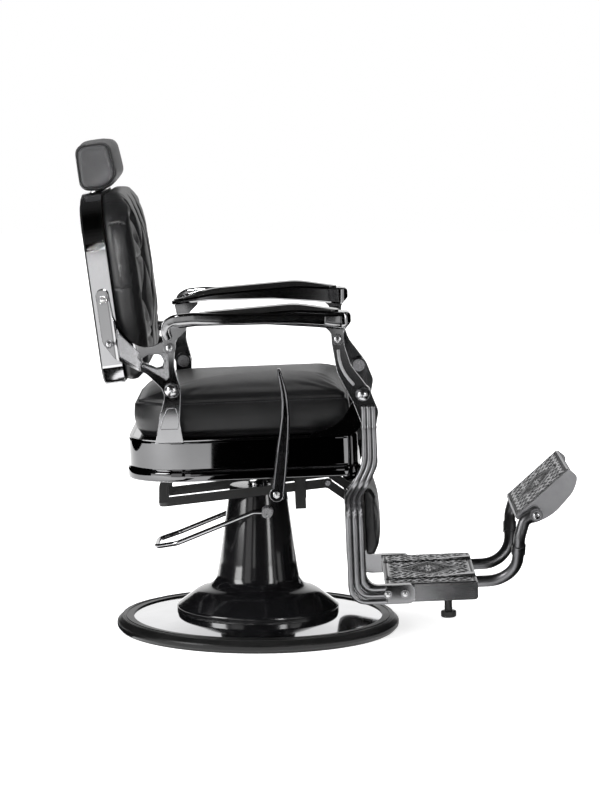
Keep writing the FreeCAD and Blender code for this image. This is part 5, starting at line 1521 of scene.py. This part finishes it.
    def toe_plate(self, material, tall):
        run = Vector((self.TOE_HIGH[0] - self.TOE_LOW[0], self.TOE_HIGH[1] - self.TOE_LOW[1]))
        long = run.length
        run.normalize()
        y, s = self.grid(self.TOE_HALF, self.TOE_MARGIN, long - self.TOE_MARGIN, long)
        relief = self.design(y, s - long / 2, self.TOE_HALF, long / 2 - self.TOE_MARGIN)
        lift = self.TOE_LIFT + tall * relief

        def place(u, v, high):
            x = self.TOE_LOW[0] + run.x * v - run.y * high
            z = self.TOE_LOW[1] + run.y * v + run.x * high
            return in_seat(x, u, z)

        self.sheet("toe_plate_ornament", (y, s), place, relief, lift, material, "toe_rest")


class CHAIR_OT_fasteners(bpy.types.Operator):
    """Put domed heads with cross recesses on the bolts and pins, with dark tubes painted as the shade in the
    recesses and around the heads
    """
    bl_idname = "chair.fasteners"
    bl_label = "Bolt Heads"

    # Node, body, whether its heads have a cross, and a head's share of the solid's width
    BOLTS = (
        ("bracket_bolts", "back", False, 0.66), ("leg_bolts", "leg_rest", False, 0.7),
        ("arm_rear_pins", "back", True, 0.8), ("arm_front_pins", "leg_rest", True, 0.8),
        ("toe_bolts", "toe_rest", True, 0.8),
    )
    # Radius and height of a dome, as shares of the head's radius
    DOME = ((0.97, -0.1), (0.98, 0.05), (0.9, 0.17), (0.66, 0.28), (0.35, 0.34), (0.05, 0.36))
    # Radius and sinking of the dark tubes that paint shade in the cross recesses and around each head
    PAINTED_SHADE_RADIUS = 0.0009
    PAINTED_SHADE_SUNK = 0.0006
    CROSS_RISE = 0.34
    CROSS_REACH = 0.45
    NUT = ((0.0085, -0.0005), (0.0085, 0.0036), (0.0078, 0.0046), (0.0052, 0.0048))
    STUD = ((0.005, 0.003), (0.005, 0.0062), (0.0042, 0.007), (0.0004, 0.0072))
    RIB_INSETS = (0.012, 0.021)
    RIB = 0.0014

    def execute(self, context):
        bright = bright_bolt_steel()
        # Dark satin for the painted shade in the cross recesses and around the heads
        dark = satin("painted recess shade", grey(0.01), 0.5)
        for node, body, crossed, share in self.BOLTS:
            domes = []
            shade_marks = []
            for low, high in islands(node):
                middle = (low + high) / 2
                sign = math.copysign(1, middle.y)
                radius = (high.x - low.x) / 2 * share
                face = Vector((middle.x, high.y if sign > 0 else low.y, middle.z))
                out = Vector((0, sign, 0))
                domes.append(lathed([(r * radius, h * radius) for r, h in self.DOME], face, out, 24))
                shade_marks.append(self.ring(face, out, radius))
                if crossed:
                    shade_marks += self.cross(face + out * radius * self.CROSS_RISE, radius * self.CROSS_REACH)
            dress(joined(node + "_heads", domes), bright, body, "bright_bolts")
            dress(joined(node + "_marks", shade_marks), dark, body, "black_steel")
        self.lever_nut(bright)
        self.ring_ribs()
        return {"FINISHED"}

    def lever_nut(self, material):
        """A six-sided nut on the end of the recline lever's shaft."""
        lo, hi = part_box("lever_shaft")
        face = Vector(((lo.x + hi.x) / 2, lo.y, (lo.z + hi.z) / 2))
        parts = [lathed(self.NUT, face, NEAR_SIDE, 6), lathed(self.STUD, face, NEAR_SIDE)]
        dress(joined("lever_nut", parts), material, "lever", "bright_bolts")

    def ring_ribs(self):
        """Two fine ribs around the floor ring."""
        lo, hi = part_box("base_ring")
        tree = tree_of(NODES["base_ring"])
        centre = (lo + hi) / 2
        ribs = []
        for inset in self.RIB_INSETS:
            reach = (hi.x - lo.x) / 2 - inset
            above = [Vector((centre.x + reach * c, centre.y + reach * s, 1.0)) for c, s in circle(120)]
            path = [struck(tree, point, DOWN) for point in above]
            if None in path:
                raise RuntimeError("the rib misses the floor ring")
            ribs.append(tube_data(path, self.RIB, 8, True))
        dress(joined("base_ring_ribs", ribs), rubber(), "base", "rubber_ring")

    def ring(self, face, out, radius):
        """A line of painted shade where a head meets its seat."""
        path = [face + Vector((c, 0, s)) * radius - out * self.PAINTED_SHADE_SUNK for c, s in circle(24)]
        return tube_data(path, self.PAINTED_SHADE_RADIUS, 6, True)

    def cross(self, centre, reach):
        """Two bars of painted shade for a cross recess, turned a little."""
        arms = [Vector((x, 0, z)) * reach for x, z in ((0.8, 0.6), (-0.6, 0.8))]
        return [tube_data([centre - arm, centre, centre + arm], self.PAINTED_SHADE_RADIUS, 6) for arm in arms]


def lying(z, near, far, span, far_span=None):
    """Corners of a sheet on the floor, from its near edge to its far one."""
    (x0, x1), (x2, x3) = span, far_span or span
    return [(x0, near, z), (x1, near, z), (x3, far, z), (x2, far, z)]


def standing(start, end, low, high):
    """Corners of an upright sheet over a line on the floor."""
    return [start + (low,), end + (low,), end + (high,), start + (high,)]


class CHAIR_OT_stage(bpy.types.Operator):
    """Set up the floor, the light and the camera"""
    bl_idname = "chair.stage"
    bl_label = "Stage"

    SENSOR = 36.0
    EYE = (0.1300, -6.6594, 1.3188)
    EYE_DOWN = 6.861
    EYE_LEFT = 0.301
    FLOOR_REACH = 14.0
    FLOOR_DROP = -0.0005
    FLOOR_GLOW = 0.42
    FAR_GLOW = 0.4
    CAMERA_GLOW = 0.3
    # Name, place, aim, size, share of the key's power, and spread in degrees
    LAMPS = (
        ("overhead_softbox", (-0.6, -1.6, 3.6), (0.05, 0.0, 0.5), (2.6, 2.2), 1.0, 180),
        ("left_softbox", (-3.4, -2.2, 1.7), (0.0, 0.0, 0.6), (1.6, 2.2), 0.6, 180),
        ("right_strip", (2.6, -3.4, 1.6), (0.1, 0.0, 0.5), (0.7, 2.2), 0.22, 180),
        ("back_spot", (-0.34, -1.7, 1.0), (-0.30, -0.25, 0.92), (0.12, 0.3), 0.0007, 10.5),
    )
    FLAGS = {
        "flag_floor": lying(0.002, -0.75, -5.2, (-0.115, 0.36), (-0.27, 0.5)),
        "flag_foot": lying(0.002, -0.45, -1.3, (0.40, 0.66), (0.43, 0.66)),
        "flag_near": lying(0.003, -4.4, -7.2, (-4.0, 4.0)),
        "flag_back": standing((-4.0, -7.2), (4.0, -7.2), 0.0, 2.4),
        "flag_right": lying(0.002, -1.4, 1.4, (0.55, 3.2)),
        "flag_under_back": lying(0.002, -2.6, 0.1, (-0.62, -0.28)),
        "flag_side_left": standing((-3.4, -0.9), (-1.3, 3.4), 0.0, 3.0),
        "flag_side_right": standing((3.4, -0.9), (1.3, 3.4), 0.0, 3.0),
    }
    CARDS = {
        "card_arm_rear": standing((-0.85, -7.1), (-0.42, -7.1), 0.0, 0.4),
        "card_arm_nose": standing((0.21, -7.1), (0.6, -7.1), 0.0, 0.4),
        "card_nose": lying(0.005, -6.2, -7.1, (0.27, 0.9)),
        "card_curl": lying(0.005, -6.3, -7.1, (-0.9, -0.28)),
        "card_left": standing((-1.2, -3.3), (-2.0, -2.6), 0.02, 1.8),
        "card_right": standing((2.6, -2.34), (3.3, -1.1), 0.02, 1.6),
    }
    RIM_CARDS = {"card_rim": standing((-0.85, -3.3), (-0.45, -3.3), 0.1, 0.66)}

    def execute(self, context):
        settings = staging()
        self.camera(settings)
        self.world(settings)
        self.floor(settings)
        self.lamps(settings)
        self.sheets(self.FLAGS, "dark flag", "ShaderNodeBsdfDiffuse", {"Color": grey(0.002)})
        self.sheets(self.CARDS, "bright card", "ShaderNodeEmission", {"Color": WHITE, "Strength": 0.8})
        self.sheets(self.RIM_CARDS, "rim card", "ShaderNodeEmission", {"Color": WHITE, "Strength": 1.2})
        return {"FINISHED"}

    def camera(self, settings):
        data = bpy.data.cameras.new("photo camera")
        data.lens = settings.lens
        data.sensor_width = self.SENSOR
        data.clip_end = 60.0
        camera = bpy.data.objects.new("photo_camera", data)
        camera.location = self.EYE
        camera.rotation_euler = (math.radians(90 - self.EYE_DOWN), 0.0, math.radians(self.EYE_LEFT))
        bpy.context.scene.collection.objects.link(camera)
        bpy.context.scene.camera = camera
        bpy.context.scene.view_settings.view_transform = "Standard"

    def rays(self, graph):
        """Which rays are the camera's, a mirror's and a glass's."""
        names = ("Is Camera Ray", "Is Glossy Ray", "Is Transmission Ray")
        return [graph.add("ShaderNodeLightPath", output=name) for name in names]

    def world(self, settings):
        """White to the camera; to mirrors, dark overhead and on the camera's side."""
        world = bpy.data.worlds.new("studio")
        bpy.context.scene.world = world
        world.use_nodes = True
        graph = Graph(world.node_tree)
        camera, mirror, glass = self.rays(graph)
        shown = camera.either(glass)
        ray = graph.add("ShaderNodeTexCoord", output="Generated")
        height = graph.add("ShaderNodeSeparateXYZ", {}, {"Vector": ray}, "Z")
        depth = graph.add("ShaderNodeSeparateXYZ", {}, {"Vector": ray}, "Y")
        low = graph.ramp(height, [(0.3, 1.0), (0.45, 0.6), (0.7, 0.05), (1.0, 0.02)])
        behind = graph.ramp(depth * 0.5 + 0.5, [(0.36, 0.03), (0.56, 1.0)])
        mirrored = low * behind * mirror + (1.0 - mirror) * settings.dome
        strength = shown + (1.0 - shown) * mirrored
        shader = graph.add("ShaderNodeBackground", {}, {"Color": WHITE, "Strength": strength})
        graph.add("ShaderNodeOutputWorld", {}, {"Surface": shader})

    def floor(self, settings):
        """A white floor that glows a little, so that the shadows on it stay faint."""
        ring = [(self.FLOOR_REACH * c, self.FLOOR_REACH * s, self.FLOOR_DROP) for c, s in circle(64)]
        floor = mesh_piece("studio_floor", ring, [tuple(range(len(ring)))], False)
        material = bpy.data.materials.new("studio floor")
        material.use_nodes = True
        graph = Graph(material.node_tree)
        camera, mirror, glass = self.rays(graph)
        seen = camera.either(mirror).either(glass)
        diffuse = graph.add("ShaderNodeBsdfDiffuse", {}, {"Color": tuple(settings.floor)})
        away = graph.add("ShaderNodeVectorMath", {"operation": "LENGTH"}, {0: graph.place()}, "Value")
        far = graph.rise(away * 0.125, 0.06, 0.3)
        strength = seen * (far * self.FAR_GLOW + self.FLOOR_GLOW) + camera * self.CAMERA_GLOW
        glow = graph.add("ShaderNodeEmission", {}, {"Color": WHITE, "Strength": strength})
        both = graph.add("ShaderNodeAddShader", {}, {0: diffuse, 1: glow})
        graph.add("ShaderNodeOutputMaterial", {}, {"Surface": both})
        floor.data.materials.append(material)

    def lamps(self, settings):
        for name, place, aim, size, share, spread in self.LAMPS:
            data = bpy.data.lights.new(name, "AREA")
            data.shape = "RECTANGLE"
            data.size, data.size_y = size
            data.energy = settings.key * share
            data.spread = math.radians(spread)
            lamp = bpy.data.objects.new(name, data)
            lamp.location = place
            lamp.rotation_euler = (Vector(aim) - Vector(place)).to_track_quat("-Z", "Y").to_euler()
            lamp.visible_glossy = name != "overhead_softbox"
            lamp.visible_camera = False
            bpy.context.scene.collection.objects.link(lamp)

    def sheets(self, corners_by_name, finish, kind, inputs):
        """Dark cloths or white cards that only mirror surfaces see."""
        material = bpy.data.materials.new(finish)
        material.use_nodes = True
        graph = Graph(material.node_tree)
        graph.add("ShaderNodeOutputMaterial", {}, {"Surface": graph.add(kind, {}, inputs)})
        for name, corners in corners_by_name.items():
            card = mesh_piece(name, corners, [(0, 1, 2, 3)], False)
            card.data.materials.append(material)
            card.visible_camera = False
            card.visible_diffuse = False
            card.visible_shadow = False
            card.visible_transmission = False


class CHAIR_PT_dresser(bpy.types.Panel):
    """The chair's pieces and settings"""
    bl_idname = "CHAIR_PT_dresser"
    bl_label = "Barber Chair"
    bl_space_type = "VIEW_3D"
    bl_region_type = "UI"
    bl_category = "Barber Chair"

    def draw(self, context):
        column = self.layout.column()
        for operator in OPERATORS:
            column.operator(operator.bl_idname)
        for settings in (upholstery(), metals(), staging()):
            for name in settings.bl_rna.properties.keys():
                if name not in ("rna_type", "name"):
                    column.prop(settings, name)


OPERATORS = (
    CHAIR_OT_finishes, CHAIR_OT_seat, CHAIR_OT_back, CHAIR_OT_headrest, CHAIR_OT_leg_pads, CHAIR_OT_back_trim,
    CHAIR_OT_skirt, CHAIR_OT_arm_rails, CHAIR_OT_legs, CHAIR_OT_castings, CHAIR_OT_ornament,
    CHAIR_OT_fasteners, CHAIR_OT_stage,
)
CLASSES = (UpholsterySettings, MetalSettings, StageSettings) + OPERATORS + (CHAIR_PT_dresser,)


def register():
    for item in CLASSES:
        bpy.utils.register_class(item)
    bpy.types.Scene.chair_upholstery = bpy.props.PointerProperty(type=UpholsterySettings)
    bpy.types.Scene.chair_metals = bpy.props.PointerProperty(type=MetalSettings)
    bpy.types.Scene.chair_stage = bpy.props.PointerProperty(type=StageSettings)


def unregister():
    del bpy.types.Scene.chair_stage
    del bpy.types.Scene.chair_metals
    del bpy.types.Scene.chair_upholstery
    for item in reversed(CLASSES):
        bpy.utils.unregister_class(item)


def main():
    register()
    bpy.ops.chair.finishes()
    bpy.ops.chair.seat()
    bpy.ops.chair.back()
    bpy.ops.chair.headrest()
    bpy.ops.chair.leg_pads()
    bpy.ops.chair.back_trim()
    bpy.ops.chair.skirt()
    bpy.ops.chair.arm_rails()
    bpy.ops.chair.legs()
    bpy.ops.chair.castings()
    bpy.ops.chair.ornament()
    bpy.ops.chair.fasteners()
    bpy.ops.chair.stage()


if __name__ == "__main__":
    main()
